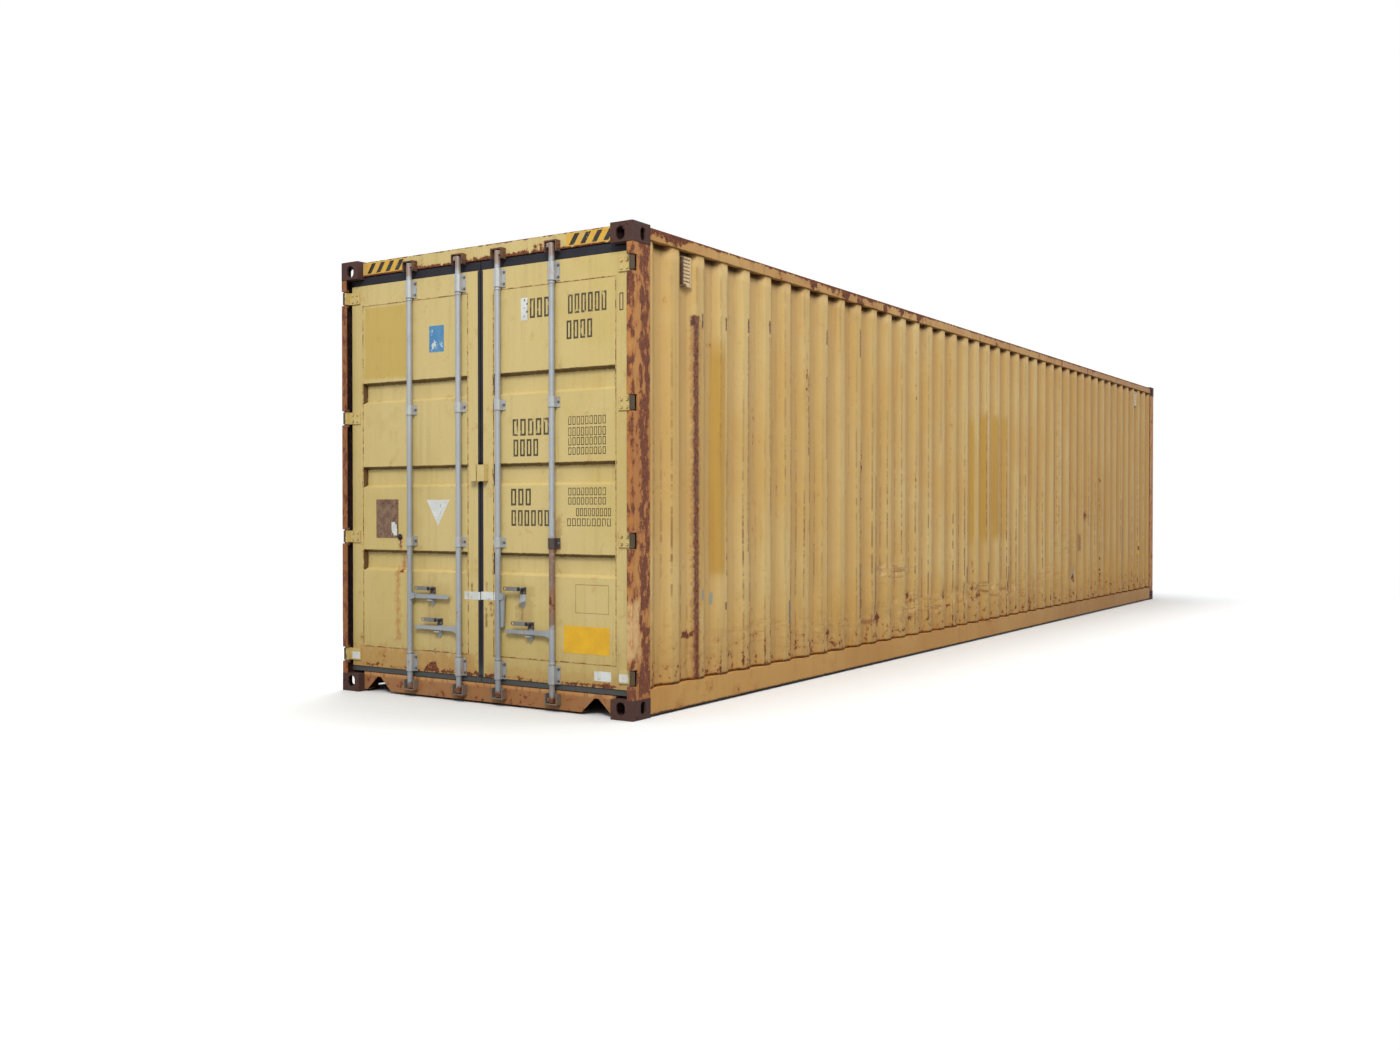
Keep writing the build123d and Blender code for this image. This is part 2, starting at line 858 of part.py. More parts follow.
# Retainers: a plate on the door, a shelf under the handle and a knob that carries the hasp
knob_x = door_end + hasp_front + hasp_thickness + hasp_gap
for door_name, places in (("left", bar_places[:2]), ("right", bar_places[2:])):
    with BuildPart() as retainers:
        for turn, bar_y, hub_z, reach in places:
            middle_y = bar_y + turn * retainer_offset
            with BuildSketch(Plane.YZ.offset(door_end + door_face - retainer_plate)):
                with BuildLine():
                    Polyline(
                        (middle_y - retainer_width / 2, hub_z - retainer_drop / 2),
                        (middle_y, hub_z - retainer_drop),
                        (middle_y + retainer_width / 2, hub_z - retainer_drop / 2),
                        (middle_y + retainer_width / 2, hub_z + retainer_rise),
                        (middle_y - retainer_width / 2, hub_z + retainer_rise),
                        close=True,
                    )
                make_face()
            extrude(amount=retainer_plate)
            with BuildSketch(Plane.YZ.offset(door_end + shelf_front)):
                with Locations((middle_y, hub_z - handle_root / 2 - shelf_gap)):
                    Rectangle(retainer_width, shelf_thickness, align=(Align.CENTER, Align.MAX))
            extrude(amount=door_face - shelf_front)
            with BuildSketch(Plane.YZ.offset(knob_x)):
                with Locations((middle_y, hub_z + knob_rise)):
                    disc(knob_radius)
            extrude(amount=door_end + door_face - knob_x)
            with BuildSketch(Plane.YZ.offset(door_end + hasp_front)):
                with Locations((middle_y, hub_z + knob_rise)):
                    disc(hasp_pin_radius)
            extrude(amount=knob_x - door_end - hasp_front)
    keep(retainers, "door_" + door_name + "_retainers")

# Hasps: straps with an eye, swung to the side at rest
for number, (turn, bar_y, hub_z, reach) in enumerate(bar_places, 1):
    pivot = (bar_y + turn * retainer_offset, hub_z + knob_rise)
    eye = (pivot[0] + hasp_length, pivot[1])
    with BuildPart() as hasp:
        with BuildSketch(Plane.YZ.offset(door_end + hasp_front)):
            with Locations(pivot, eye):
                disc(hasp_width / 2)
            make_hull()
            with Locations(pivot):
                disc(hasp_pin_radius + pin_clearance, mode=Mode.SUBTRACT)
            with Locations(eye):
                disc(hasp_eye, mode=Mode.SUBTRACT)
        extrude(amount=hasp_thickness)
    keep(hasp, "hasp_" + str(number))

# Box over the seam: one half on each door, so that either can swing by itself
cover_front = door_end + door_face - cover_depth
for door_name, near, far in (("left", gasket_seam, cover_right), ("right", -gasket_seam, -cover_left)):
    with BuildPart() as seam_cover:
        with BuildSketch(Plane.XY.offset(cover_low)):
            with BuildLine():
                Polyline(
                    *folded(
                        [(cover_front, near), (cover_front, far), (door_end + door_face, far)],
                        -cover_wall if far > near else cover_wall,
                    ),
                    close=True,
                )
            make_face()
        extrude(amount=cover_high - cover_low)
    keep(seam_cover, "door_" + door_name + "_seam_cover")

# Ventilators: louvred boxes that sit in a trough of each side wall
trough_floor = wall_outer - trough_depth
vent_troughs = (vent_first_index, trough_count + vent_last_index)
vent_x = [(index - (trough_count - 1) / 2) * trough_pitch for index in vent_troughs]
trough_slope = (trough_pitch - outer_flat - inner_flat) / 2
vent_shoulder = trough_floor + (vent_width - inner_flat) / 2 * trough_depth / trough_slope
with BuildPart() as vents:
    for centre_x in vent_x:
        with BuildSketch(Plane.XY.offset(vent_centre_z - vent_height / 2)):
            with BuildLine():
                Polyline(
                    (centre_x - inner_flat / 2, trough_floor),
                    (centre_x + inner_flat / 2, trough_floor),
                    (centre_x + vent_width / 2, vent_shoulder),
                    (centre_x + vent_width / 2, trough_floor + vent_depth),
                    (centre_x - vent_width / 2, trough_floor + vent_depth),
                    (centre_x - vent_width / 2, vent_shoulder),
                    close=True,
                )
            make_face()
        extrude(amount=vent_height)
    mirror(about=Plane.XZ)
keep(vents, "ventilators")
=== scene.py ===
import bpy
import math
import numpy as np
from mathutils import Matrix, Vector


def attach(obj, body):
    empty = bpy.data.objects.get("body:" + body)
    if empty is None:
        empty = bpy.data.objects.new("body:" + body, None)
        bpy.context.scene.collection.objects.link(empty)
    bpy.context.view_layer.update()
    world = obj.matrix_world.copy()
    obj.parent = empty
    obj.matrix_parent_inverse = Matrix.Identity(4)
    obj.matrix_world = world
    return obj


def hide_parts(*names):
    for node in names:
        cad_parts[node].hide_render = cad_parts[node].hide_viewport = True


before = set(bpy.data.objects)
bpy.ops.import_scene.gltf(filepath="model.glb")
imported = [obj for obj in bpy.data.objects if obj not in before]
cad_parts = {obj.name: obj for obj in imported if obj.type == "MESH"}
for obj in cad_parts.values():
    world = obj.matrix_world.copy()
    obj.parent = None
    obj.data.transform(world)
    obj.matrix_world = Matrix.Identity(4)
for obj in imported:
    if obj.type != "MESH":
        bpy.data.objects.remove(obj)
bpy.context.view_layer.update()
seedNumber = 41
print("stage: frame loaded")

# The container's own planes in metres. X runs along it with the doors at the low end, Y runs across with the left
# door at +Y, Z is up. The lowest hinges have tape over them and no bolts, so they aren't listed. Each lock is given
# by the Y of its bar, the height of its hub and the reach from the bar to the hasp.
place = {
    "doorFace": -6.046,
    "hingeFace": -6.054,
    "plateFace": -6.052,
    "pinFace": -6.0932,
    "pinRise": 0.053,
    "wallSkin": 1.208,
    "wallLow": 0.166,
    "wallHigh": 2.812,
    "wallHalf": 5.918,
    "barDepth": -6.072,
    "endX": 6.1,
    "sideY": 1.22,
    "hinges": (1.045, 1.846, 2.655),
    "guides": (0.225, 1.022, 1.878, 2.665),
    "bands": ((0.819, 0.959), (1.375, 1.514), (1.937, 2.077)),
    "locks": ((0.599, 0.664, -0.185), (0.166, 0.463, 0.185), (-0.166, 0.685, -0.185), (-0.599, 0.473, 0.185)),
}
door = place["doorFace"]


def paint(chart):
    # the sRGB numbers of a colour, two hex digits each, turned to the linear values that Blender mixes
    parts = np.array([int(chart[k : k + 2], 16) for k in (0, 2, 4)]) / 255
    linear = np.where(parts > 0.04045, ((parts + 0.055) / 1.055) ** 2.4, parts / 12.92)
    return (*linear.tolist(), 1.0)


class Desk:
    # a node tree with short calls for the nodes that are used here
    def __init__(self, tree):
        self.tree = tree

    def feed(self, socket, value):
        # a socket takes a link, a colour as hex digits or a plain value
        if isinstance(value, bpy.types.NodeSocket):
            self.tree.links.new(value, socket)
        elif value is not None:
            socket.default_value = paint(value) if isinstance(value, str) else value

    def add(self, kind, setting=None, first=(), **named):
        # one node: its settings, its first inputs in their order, and others by name
        node = self.tree.nodes.new("ShaderNode" + kind)
        for key, value in (setting or {}).items():
            setattr(node, key, value)
        for socket, value in zip(node.inputs, first):
            self.feed(socket, value)
        for label, value in named.items():
            self.feed(node.inputs[label.replace("_", " ")], value)
        return node

    def group(self, effect, **named):
        # the outputs of a shared effect
        return self.add("Group", {"node_tree": effect}, **named).outputs

    def sum(self, kind, a, b=0.0, clamp=False):
        # one step of arithmetic
        return self.add("Math", {"operation": kind, "use_clamp": clamp}, (a, b)).outputs[0]

    def plus(self, a, b, clamp=False):
        # a + b
        return self.sum("ADD", a, b, clamp)

    def minus(self, a, b):
        # a - b
        return self.sum("SUBTRACT", a, b)

    def times(self, a, b, clamp=False):
        # a times b
        return self.sum("MULTIPLY", a, b, clamp)

    def vector(self, kind, *parts):
        # one step of arithmetic for each coordinate by itself
        return self.add("VectorMath", {"operation": kind}, parts).outputs[0]

    def stretch(self, vector, x, y, z):
        # noise gets shorter along an axis whose factor is above one
        return self.vector("MULTIPLY", vector, (x, y, z))

    def axis(self, vector, number):
        # one coordinate: 0 is X, 1 is Y, 2 is Z
        return self.add("SeparateXYZ", None, (vector,)).outputs[number]

    def span(self, value, low, high, start, end):
        # a straight line from start at low to end at high, level beyond them
        return self.add("MapRange", None, (value, low, high, start, end)).outputs[0]

    def step(self, value, low, high, start=0.0, end=1.0):
        # the same, as a smooth S
        return self.add("MapRange", {"interpolation_type": "SMOOTHSTEP"}, (value, low, high, start, end)).outputs[0]

    def mix(self, amount, under, over, kind="MIX"):
        # under, with its share amount given to over
        return self.add("MixRGB", {"blend_type": kind}, (amount, under, over)).outputs[0]

    def cover(self, coat, color, mask, strength, clamp=False):
        # the colour laid over the coat by mask times strength
        return self.mix(self.times(mask, strength, clamp), coat, color)

    def noise(self, vector, scale, detail=3.0, rough=0.55, warp=0.0):
        # fractal noise, mostly between 0.3 and 0.7
        node = self.add("TexNoise", Vector=vector, Scale=scale, Detail=detail, Roughness=rough, Distortion=warp)
        return node.outputs[0]


def effectGroup(name, build, **wanted):
    # one shader node group: named inputs, whose kind follows from their default, and the outputs that build makes
    tree = bpy.data.node_groups.new(name, "ShaderNodeTree")
    kinds = {float: "Float", str: "Color", tuple: "Vector", "VALUE": "Float", "RGBA": "Color", "VECTOR": "Vector"}
    for label, value in wanted.items():
        socket = tree.interface.new_socket(label, in_out="INPUT", socket_type="NodeSocket" + kinds[type(value)])
        socket.default_value = paint(value) if isinstance(value, str) else value
    entry = tree.nodes.new("NodeGroupInput")
    leave = tree.nodes.new("NodeGroupOutput")
    for label, value in build(Desk(tree), entry.outputs).items():
        tree.interface.new_socket(label, in_out="OUTPUT", socket_type="NodeSocket" + kinds[value.type])
        tree.links.new(value, leave.inputs[label])
    return tree


origin = (0.0, 0.0, 0.0)
bloom = {
    "detail": 7.0, "rough": 0.66, "warp": 0.25, "finer": 7.0, "fray": 0.16, "mask": (0.985, 1.03),
    "halo": (0.84, 1.02), "fineNoise": (3.0, 0.6), "shade": (0.3, 0.7),
}
runs = {
    "length": 0.022, "thinLength": 0.05, "thinner": 3.1, "dark": (0.5, 0.72), "thin": (0.55, 0.75),
    "light": (0.5, 0.3), "where": (0.38, 0.62), "slow": (1.3, 2.0, 0.5),
}
worn = {"turn": (0.01, 0.16), "patch": (0.42, 0.6), "samples": 4}
tones = {
    "slow": 0.9, "middle": 7.0, "grain": 160.0, "ragged": 0.35, "blend": (0.35, 0.65), "dirt": (0.55, 0.75),
    "dirtShare": 0.3, "grainLow": 0.9, "grainRange": 0.2, "rough": (0.2, 0.8), "grainRelief": 0.3,
}
patch = {"widestRim": 0.06, "reach": 2.6, "ragged": (34.0, 4.0, 0.65), "front": (0.3, 0.05)}


def buildRust(desk, given):
    # rust blooms where a fractal noise, raised by the amount, passes a level; a wider level gives the stain round it
    spot = desk.noise(given["Vector"], given["Scale"], bloom["detail"], bloom["rough"], bloom["warp"])
    level = desk.plus(spot, given["Amount"])
    fine = desk.noise(given["Vector"], desk.times(given["Scale"], bloom["finer"]), *bloom["fineNoise"])
    level = desk.plus(level, desk.times(desk.minus(fine, 0.5), bloom["fray"]))
    shade = desk.mix(desk.step(fine, *bloom["shade"]), given["Dark"], given["Bright"])
    mask, halo = desk.step(level, *bloom["mask"]), desk.step(level, *bloom["halo"])
    return {"Mask": mask, "Halo": halo, "Color": shade, "Height": fine}


rustGroup = effectGroup("rustBloom", buildRust, Vector=origin, Amount=0.3, Scale=6.0, Dark="46261e", Bright="8c4e2c")


def buildStreaks(desk, given):
    # rain runs: noise drawn out along Z, kept where a slow noise allows it
    run = desk.noise(desk.stretch(given["Vector"], 1, 1, runs["length"]), given["Scale"], 4.0, 0.7)
    where = desk.noise(given["Vector"], *runs["slow"])
    thin = desk.noise(
        desk.stretch(given["Vector"], 1, 1, runs["thinLength"]), desk.times(given["Scale"], runs["thinner"]), 2.0, 0.6
    )
    dark = desk.times(desk.step(run, *runs["dark"]), desk.step(where, *runs["where"]))
    return {"Dark": dark, "Thin": desk.step(thin, *runs["thin"]), "Light": desk.step(run, *runs["light"])}


streakGroup = effectGroup("rainRuns", buildStreaks, Vector=origin, Scale=9.0)


def buildEdge(desk, given):
    # wear at edges: how far the rounded normal turns from the plain one, broken up by noise
    rounded = desk.add("Bevel", {"samples": worn["samples"]}, (given["Radius"],)).outputs[0]
    plain = desk.add("NewGeometry").outputs["Normal"]
    turn = desk.add("VectorMath", {"operation": "DOT_PRODUCT"}, (rounded, plain)).outputs["Value"]
    bare = desk.minus(1.0, turn)
    patchy = desk.noise(given["Vector"], given["Scale"], 4.0, 0.6)
    return {"Mask": desk.times(desk.step(bare, *worn["turn"]), desk.step(patchy, *worn["patch"])), "Normal": rounded}


edgeGroup = effectGroup("edgeWear", buildEdge, Vector=origin, Radius=0.004, Scale=9.0)


def buildTone(desk, given):
    # weathered coat: base and faded colour mixed by slow noise, then light and dark grain
    slow = desk.noise(given["Vector"], tones["slow"], 3.0, 0.55)
    middle = desk.noise(given["Vector"], tones["middle"], 4.0, 0.6)
    grain = desk.noise(given["Vector"], tones["grain"], 2.0, 0.6)
    share = desk.step(desk.plus(slow, desk.times(desk.minus(middle, 0.5), tones["ragged"])), *tones["blend"])
    coat = desk.mix(share, given["Base"], given["Faded"])
    coat = desk.cover(coat, given["Dirt"], desk.step(middle, *tones["dirt"]), tones["dirtShare"])
    bright = desk.plus(tones["grainLow"], desk.times(grain, tones["grainRange"]))
    coat = desk.mix(1.0, coat, desk.add("CombineXYZ", None, (bright, bright, bright)).outputs[0], "MULTIPLY")
    relief = desk.plus(desk.times(grain, tones["grainRelief"]), middle)
    return {"Color": coat, "Rough": desk.step(middle, *tones["rough"]), "Height": relief}


toneGroup = effectGroup("coatTone", buildTone, Vector=origin, Base="ffffff", Faded="ffffff", Dirt="ffffff")


def buildPatch(desk, given):
    # a soft box: one inside the half size around the centre, zero outside, its rim shifted by the ragged noise
    reach = desk.times(desk.sum("MINIMUM", given["Rim"], patch["widestRim"]), patch["reach"])
    ragged = desk.times(desk.minus(given["Ragged"], 0.5), reach)
    far = desk.vector("ABSOLUTE", desk.vector("SUBTRACT", given["Vector"], given["Centre"]))
    out = desk.vector("SUBTRACT", far, given["Half"])
    split = desk.add("SeparateXYZ", None, (out,)).outputs
    most = desk.sum("MAXIMUM", desk.sum("MAXIMUM", split[0], split[1]), split[2])
    return {"Mask": desk.step(desk.sum("DIVIDE", desk.plus(most, ragged), given["Rim"]), 0.5, -0.5)}


patchGroup = effectGroup(
    "softBox", buildPatch, Vector=origin, Centre=origin, Half=(0.1, 0.1, 0.1), Rim=0.02, Ragged=0.5
)


# The long walls: the pressed line, the waves and creases of their age, then low rust, and grime with painted shade,
# which give strength and where it starts and is full, the grime with the way along Z in between. The grime's last
# strip, under the top rail, is painted shade.
wall = {
    "pitch": 0.282, "count": 42, "depth": 0.036, "outerFlat": 0.074, "innerFlat": 0.072, "bend": 0.008, "lowRows": 31,
    "highRows": 22, "split": 0.9, "sheet": 0.002, "waviness": 0.0016, "crease": 0.0035, "longestRun": 0.03,
    "holdLow": (0, 0.09), "holdHigh": (0, 0.15), "holdEnds": 0.2, "runLow": (0.05, 0.1), "runHigh": (0.02, 0.02),
    "bandEnds": (0.01, 0.01), "bandLow": (0.03, 0.05), "bandHigh": (0.02, 0.02), "behindBend": 0.011,
    "thinStroke": 0.012, "waves": 5, "waveAlong": (1.5, 9), "waveUp": (-3, 3), "phase": (0, 6.28), "waveIn": 0.6,
    "creased": 8, "creaseWide": 1.6, "creaseTall": 1.4, "creaseAlong": 31, "creaseUp": 23, "creaseBend": (4, 9),
    "sway": 0.006, "swayUp": 7, "swayAlong": 9, "runWide": 1.2, "mostBlot": 0.6, "lowRust": (0.05, -0.75, -0.2),
    "grime": ((0.35, -1, -0.205, -0.17), (0.14, -1, -0.9, -0.2), (0.3, 1, 2.785, 2.81)),
}
ribs = {
    "band": (0.013, 0.004), "innerShare": 0.6, "long": (0.45, 0.6), "short": (0.38, 0.56),
    "heights": (2.4, 0.5, 0.3, 1.0), "deep": (-5.5, 4.0, 0.42, 0.85), "top": (2.768, 2.792), "fresh": 0.85,
    "grime": 0.75, "line": 0.85, "shade": 0.9, "rust": 0.12, "chip": (0.54, 0.6), "scratch": (0.53, 0.6),
    "longWay": (5.0, 1.0, 0.55), "shortWay": (3.0, 1.0, 12.0), "scratchWay": (5.0, 1.0, 26.0),
    "chipNoise": (24.0, 4.0, 0.6),
}


def ribTone(desk, where, height):
    # the distance along X from the nearest trough gives the troughs, painted darker as shade that grows towards the
    # far end, and the lines along their bends; noise breaks the lines up, and they get stronger downwards; the tops
    # of the troughs under the top rail get a painted shadow
    along = desk.axis(where, 0)
    shifted = desk.plus(along, wall["pitch"] * ((wall["count"] - 1) / 2 + 40))
    away = desk.sum("PINGPONG", shifted, wall["pitch"] / 2)
    outer = (wall["pitch"] - wall["outerFlat"]) / 2
    inner = wall["innerFlat"] / 2
    trough = desk.step(away, outer, inner)
    bends = [desk.step(desk.sum("ABSOLUTE", desk.minus(away, bend)), *ribs["band"]) for bend in (outer, inner)]
    long = desk.noise(desk.stretch(where, *ribs["longWay"]), 1.0, 2.0, 0.5)
    short = desk.noise(desk.stretch(where, *ribs["shortWay"]), 1.0, 4.0, 0.65)
    strength = desk.times(desk.step(long, *ribs["long"]), desk.step(short, *ribs["short"]))
    strength = desk.times(strength, desk.step(height, *ribs["heights"]))
    both = desk.plus(bends[0], desk.times(bends[1], ribs["innerShare"]), True)
    return {
        "trough": trough,
        "deep": desk.step(along, *ribs["deep"]),
        "line": desk.times(both, strength),
        # painted shadow in the tops of the troughs, just under the top rail
        "top": desk.times(trough, desk.step(height, *ribs["top"])),
    }


# What a coat has unless its own look says otherwise. A mark is a soft box: the X, Y and Z of its centre, its half
# sizes, a colour or the word rust, the strength and the width of its rim.
usualCoat = {
    "runScale": 9.0, "runLight": 0.25, "runDark": 0.3, "runThin": 0.12, "lowGrime": 0.35, "lowRust": 0.05,
    "grimeTop": 0.5, "grimeLow": 0.1, "grimeRun": -0.12, "radius": 0.003, "wearScale": 9.0, "wear": 0.3,
    "rustWay": (1, 1, 1), "rustScale": 6.0, "rustDark": "46261e", "rustBright": "8c4e2c", "rustRough": 0.88,
    "rustRelief": 1.4, "halo": 0.45, "stain": "b0763a", "roughLow": 0.42, "roughHigh": 0.62, "relief": 0.35,
    "bump": 0.5, "bumpDepth": 0.0012, "metal": 0.0, "gloss": 0.4, "fields": False, "outside": False, "marks": (),
}


def startCoat(name):
    # a material with an empty tree, and the object coordinates that its noises use
    material = bpy.data.materials.new(name)
    material.use_nodes = True
    material.node_tree.nodes.clear()
    desk = Desk(material.node_tree)
    return material, desk, desk.add("TexCoord").outputs["Object"]


def endCoat(desk, look, height, normal=None, **sockets):
    # the shader with its bump, joined to the output
    bump = desk.add("Bump", Strength=look["bump"], Distance=look["bumpDepth"], Height=height, Normal=normal)
    shader = desk.add("BsdfPrincipled", Normal=bump.outputs[0], Specular_IOR_Level=look["gloss"], **sockets)
    desk.add("OutputMaterial", None, (shader.outputs[0],))


def weathered(name, look):
    # painted or bare steel: coat tone, patches, rain runs, low grime, edge wear and rust over each other; some
    # patches, and the long walls' troughs, are painted shade
    look = {**usualCoat, **look}
    base, faded, dirt, grime = look["colors"].split()
    material, desk, where = startCoat(name)
    height = desk.axis(where, 2)
    tone = desk.group(toneGroup, Vector=where, Base=base, Faded=faded, Dirt=dirt)
    streaks = desk.group(streakGroup, Vector=where, Scale=look["runScale"])
    coat = desk.cover(tone["Color"], faded, streaks["Light"], look["runLight"])
    rustAmount = look["rust"]
    ragged = desk.noise(where, *patch["ragged"])
    if look["fields"]:
        fields = {label: desk.add("Attribute", {"attribute_name": label}).outputs["Fac"] for label in fieldNames}
        rib = ribTone(desk, where, height)
        # the troughs darkened as painted shade, more towards the far end
        coat = desk.cover(coat, look["trough"], rib["trough"], rib["deep"])
        coat = desk.cover(coat, look["fresh"], fields["fresh"], ribs["fresh"], True)
        # the field's dirt low down, and its strip of painted shade under the top rail
        coat = desk.cover(coat, grime, fields["grime"], ribs["grime"], True)
        scratch = desk.noise(desk.stretch(where, *ribs["scratchWay"]), 1.0, 4.0, 0.6, 0.6)
        chip = desk.noise(where, *ribs["chipNoise"])
        coat = desk.cover(coat, look["chip"], fields["scuff"], desk.step(chip, *ribs["chip"]))
        coat = desk.cover(coat, look["line"], fields["scuff"], desk.step(scratch, *ribs["scratch"]))
        coat = desk.cover(coat, look["line"], rib["line"], ribs["line"])
        # painted shadow in the tops of the troughs under the top rail
        coat = desk.cover(coat, look["shade"], rib["top"], ribs["shade"])
        rustAmount = desk.plus(desk.plus(fields["rust"], rustAmount), desk.times(rib["line"], ribs["rust"]))
    if look["outside"]:  # marks only where the surface faces away from the inside
        front = desk.step(desk.axis(desk.add("TexCoord").outputs["Normal"], 0), *patch["front"])
    for *box, kind, strength, rim in look["marks"]:
        soft = desk.group(patchGroup, Vector=where, Centre=box[:3], Half=box[3:], Rim=rim, Ragged=ragged)
        mask = desk.times(soft["Mask"], front) if look["outside"] else soft["Mask"]
        if kind == "rust":
            rustAmount = desk.plus(rustAmount, desk.times(mask, strength))
        else:
            coat = desk.cover(coat, kind, mask, strength)
    coat = desk.cover(coat, grime, streaks["Dark"], look["runDark"])
    coat = desk.cover(coat, grime, streaks["Thin"], look["runThin"])
    low = desk.step(
        desk.plus(height, desk.times(streaks["Thin"], look["grimeRun"])), look["grimeTop"], look["grimeLow"]
    )
    coat = desk.cover(coat, grime, low, look["lowGrime"])
    edge = desk.group(edgeGroup, Vector=where, Radius=look["radius"], Scale=look["wearScale"])
    rustAmount = desk.plus(rustAmount, desk.times(edge["Mask"], look["wear"]))
    rustAmount = desk.plus(rustAmount, desk.times(low, look["lowRust"]))
    grainWay = desk.stretch(where, *look["rustWay"])
    rust = desk.group(
        rustGroup, Vector=grainWay, Amount=rustAmount, Scale=look["rustScale"], Dark=look["rustDark"],
        Bright=look["rustBright"]
    )
    coat = desk.mix(rust["Mask"], desk.cover(coat, look["stain"], rust["Halo"], look["halo"]), rust["Color"])
    rough = desk.span(tone["Rough"], 0.0, 1.0, look["roughLow"], look["roughHigh"])
    rough = desk.span(rust["Mask"], 0.0, 1.0, rough, look["rustRough"])
    crust = desk.times(desk.times(rust["Mask"], rust["Height"]), look["rustRelief"])
    relief = desk.plus(desk.times(tone["Height"], look["relief"]), crust)
    metal = desk.times(desk.minus(1.0, rust["Mask"]), look["metal"])
    endCoat(desk, look, relief, edge["Normal"], Base_Color=coat, Roughness=rough, Metallic=metal)
    return material

fieldNames = ("rust", "grime", "fresh", "scuff")
wallColors = "cfa962 d6b878 bc9256 845c38"
doorColors = "ceb672 d6c082 be9d60 82633c"
wallDark = "58342c"
bothSides = (("left", 1), ("right", -1))
haspSpots = [(y + reach, hub) for y, hub, reach in place["locks"]]


def onRib(x):
    # the far edge of the nearest outer flat, which hides the next bend from the photo's side
    away = (wall["pitch"] - wall["outerFlat"]) / 2
    number = round((x + away) / wall["pitch"] - 0.5)
    return (number + 0.5) * wall["pitch"] - away - wall["behindBend"]


def strokeMark(stroke):
    # the mark of one upright stroke; thin ones are moved to the nearest rib
    x, low, high, half, color, strength, rim = stroke
    x = onRib(x) if half < wall["thinStroke"] else x
    return (x, -1.19, (low + high) / 2, half + 0.002, 0.05, (high - low) / 2, color, min(strength + 0.1, 1.0), rim)


wallStrokes = [  # place along X, from height, to height, half width, colour, strength, rim
    (-5.4, 0.17, 2.42, 0.034, "a47046", 0.6, 0.03), (-5.398, 0.17, 2.42, 0.016, wallDark, 0.94, 0.018),
    (-5.405, 2.37, 2.43, 0.026, wallDark, 0.95, 0.018), (-5.19, 2.36, 2.45, 0.007, wallDark, 0.85, 0.014),
    (-4.945, 2.38, 2.46, 0.007, wallDark, 0.8, 0.014), (-4.669, 2.4, 2.49, 0.009, wallDark, 0.85, 0.014),
    (-4.432, 2.42, 2.51, 0.008, wallDark, 0.85, 0.014), (-4.661, 0.95, 2.38, 0.005, "8c5c3a", 0.6, 0.014),
    (-4.44, 1.6, 2.4, 0.004, "966840", 0.45, 0.014), (-3.94, 1.62, 2.2, 0.004, "764c32", 0.7, 0.016),
    (-3.626, 2.44, 2.55, 0.007, wallDark, 0.75, 0.014), (-3.6, 1.6, 2.2, 0.008, "a07046", 0.6, 0.016),
    (-3.07, 2.4, 2.62, 0.008, "784c34", 0.75, 0.014), (-4.183, 2.12, 2.15, 0.02, "b06a3c", 0.85, 0.018),
    (-5.395, 0.66, 0.73, 0.009, "96968c", 0.9, 0.01), (-5.185, 0.62, 0.7, 0.014, "989886", 0.9, 0.012),
    (-5.165, 0.58, 0.63, 0.01, "78503e", 0.8, 0.012), (-4.136, 0.43, 0.59, 0.01, "70706c", 0.85, 0.014),
    (-4.15, 0.36, 0.44, 0.008, "966e3c", 0.7, 0.014), (-3.03, 0.38, 0.8, 0.008, "685452", 0.85, 0.014),
    (-2.772, 0.38, 0.8, 0.009, "745c54", 0.75, 0.014), (-2.9, 0.33, 0.36, 0.1, "8e5632", 0.75, 0.03),
    (-3.02, 0.8, 1.6, 0.006, "966842", 0.6, 0.016), (-2.78, 0.8, 1.5, 0.006, "966842", 0.5, 0.016),
    (-0.675, 0.55, 0.7, 0.01, "603e30", 0.85, 0.014), (-0.36, 0.52, 0.72, 0.01, "603e30", 0.85, 0.014),
    (0.197, 0.4, 0.66, 0.01, "6e4632", 0.8, 0.014), (2.489, 0.42, 0.55, 0.024, "aaa092", 0.7, 0.03),
    (2.993, 1.1, 1.19, 0.026, "7c5236", 0.75, 0.04), (2.75, 0.75, 0.95, 0.02, "865c3c", 0.6, 0.04),
    (4.63, 0.17, 1.36, 0.01, "704a34", 0.75, 0.016), (4.42, 0.17, 1.0, 0.007, "865c3c", 0.6, 0.016),
]

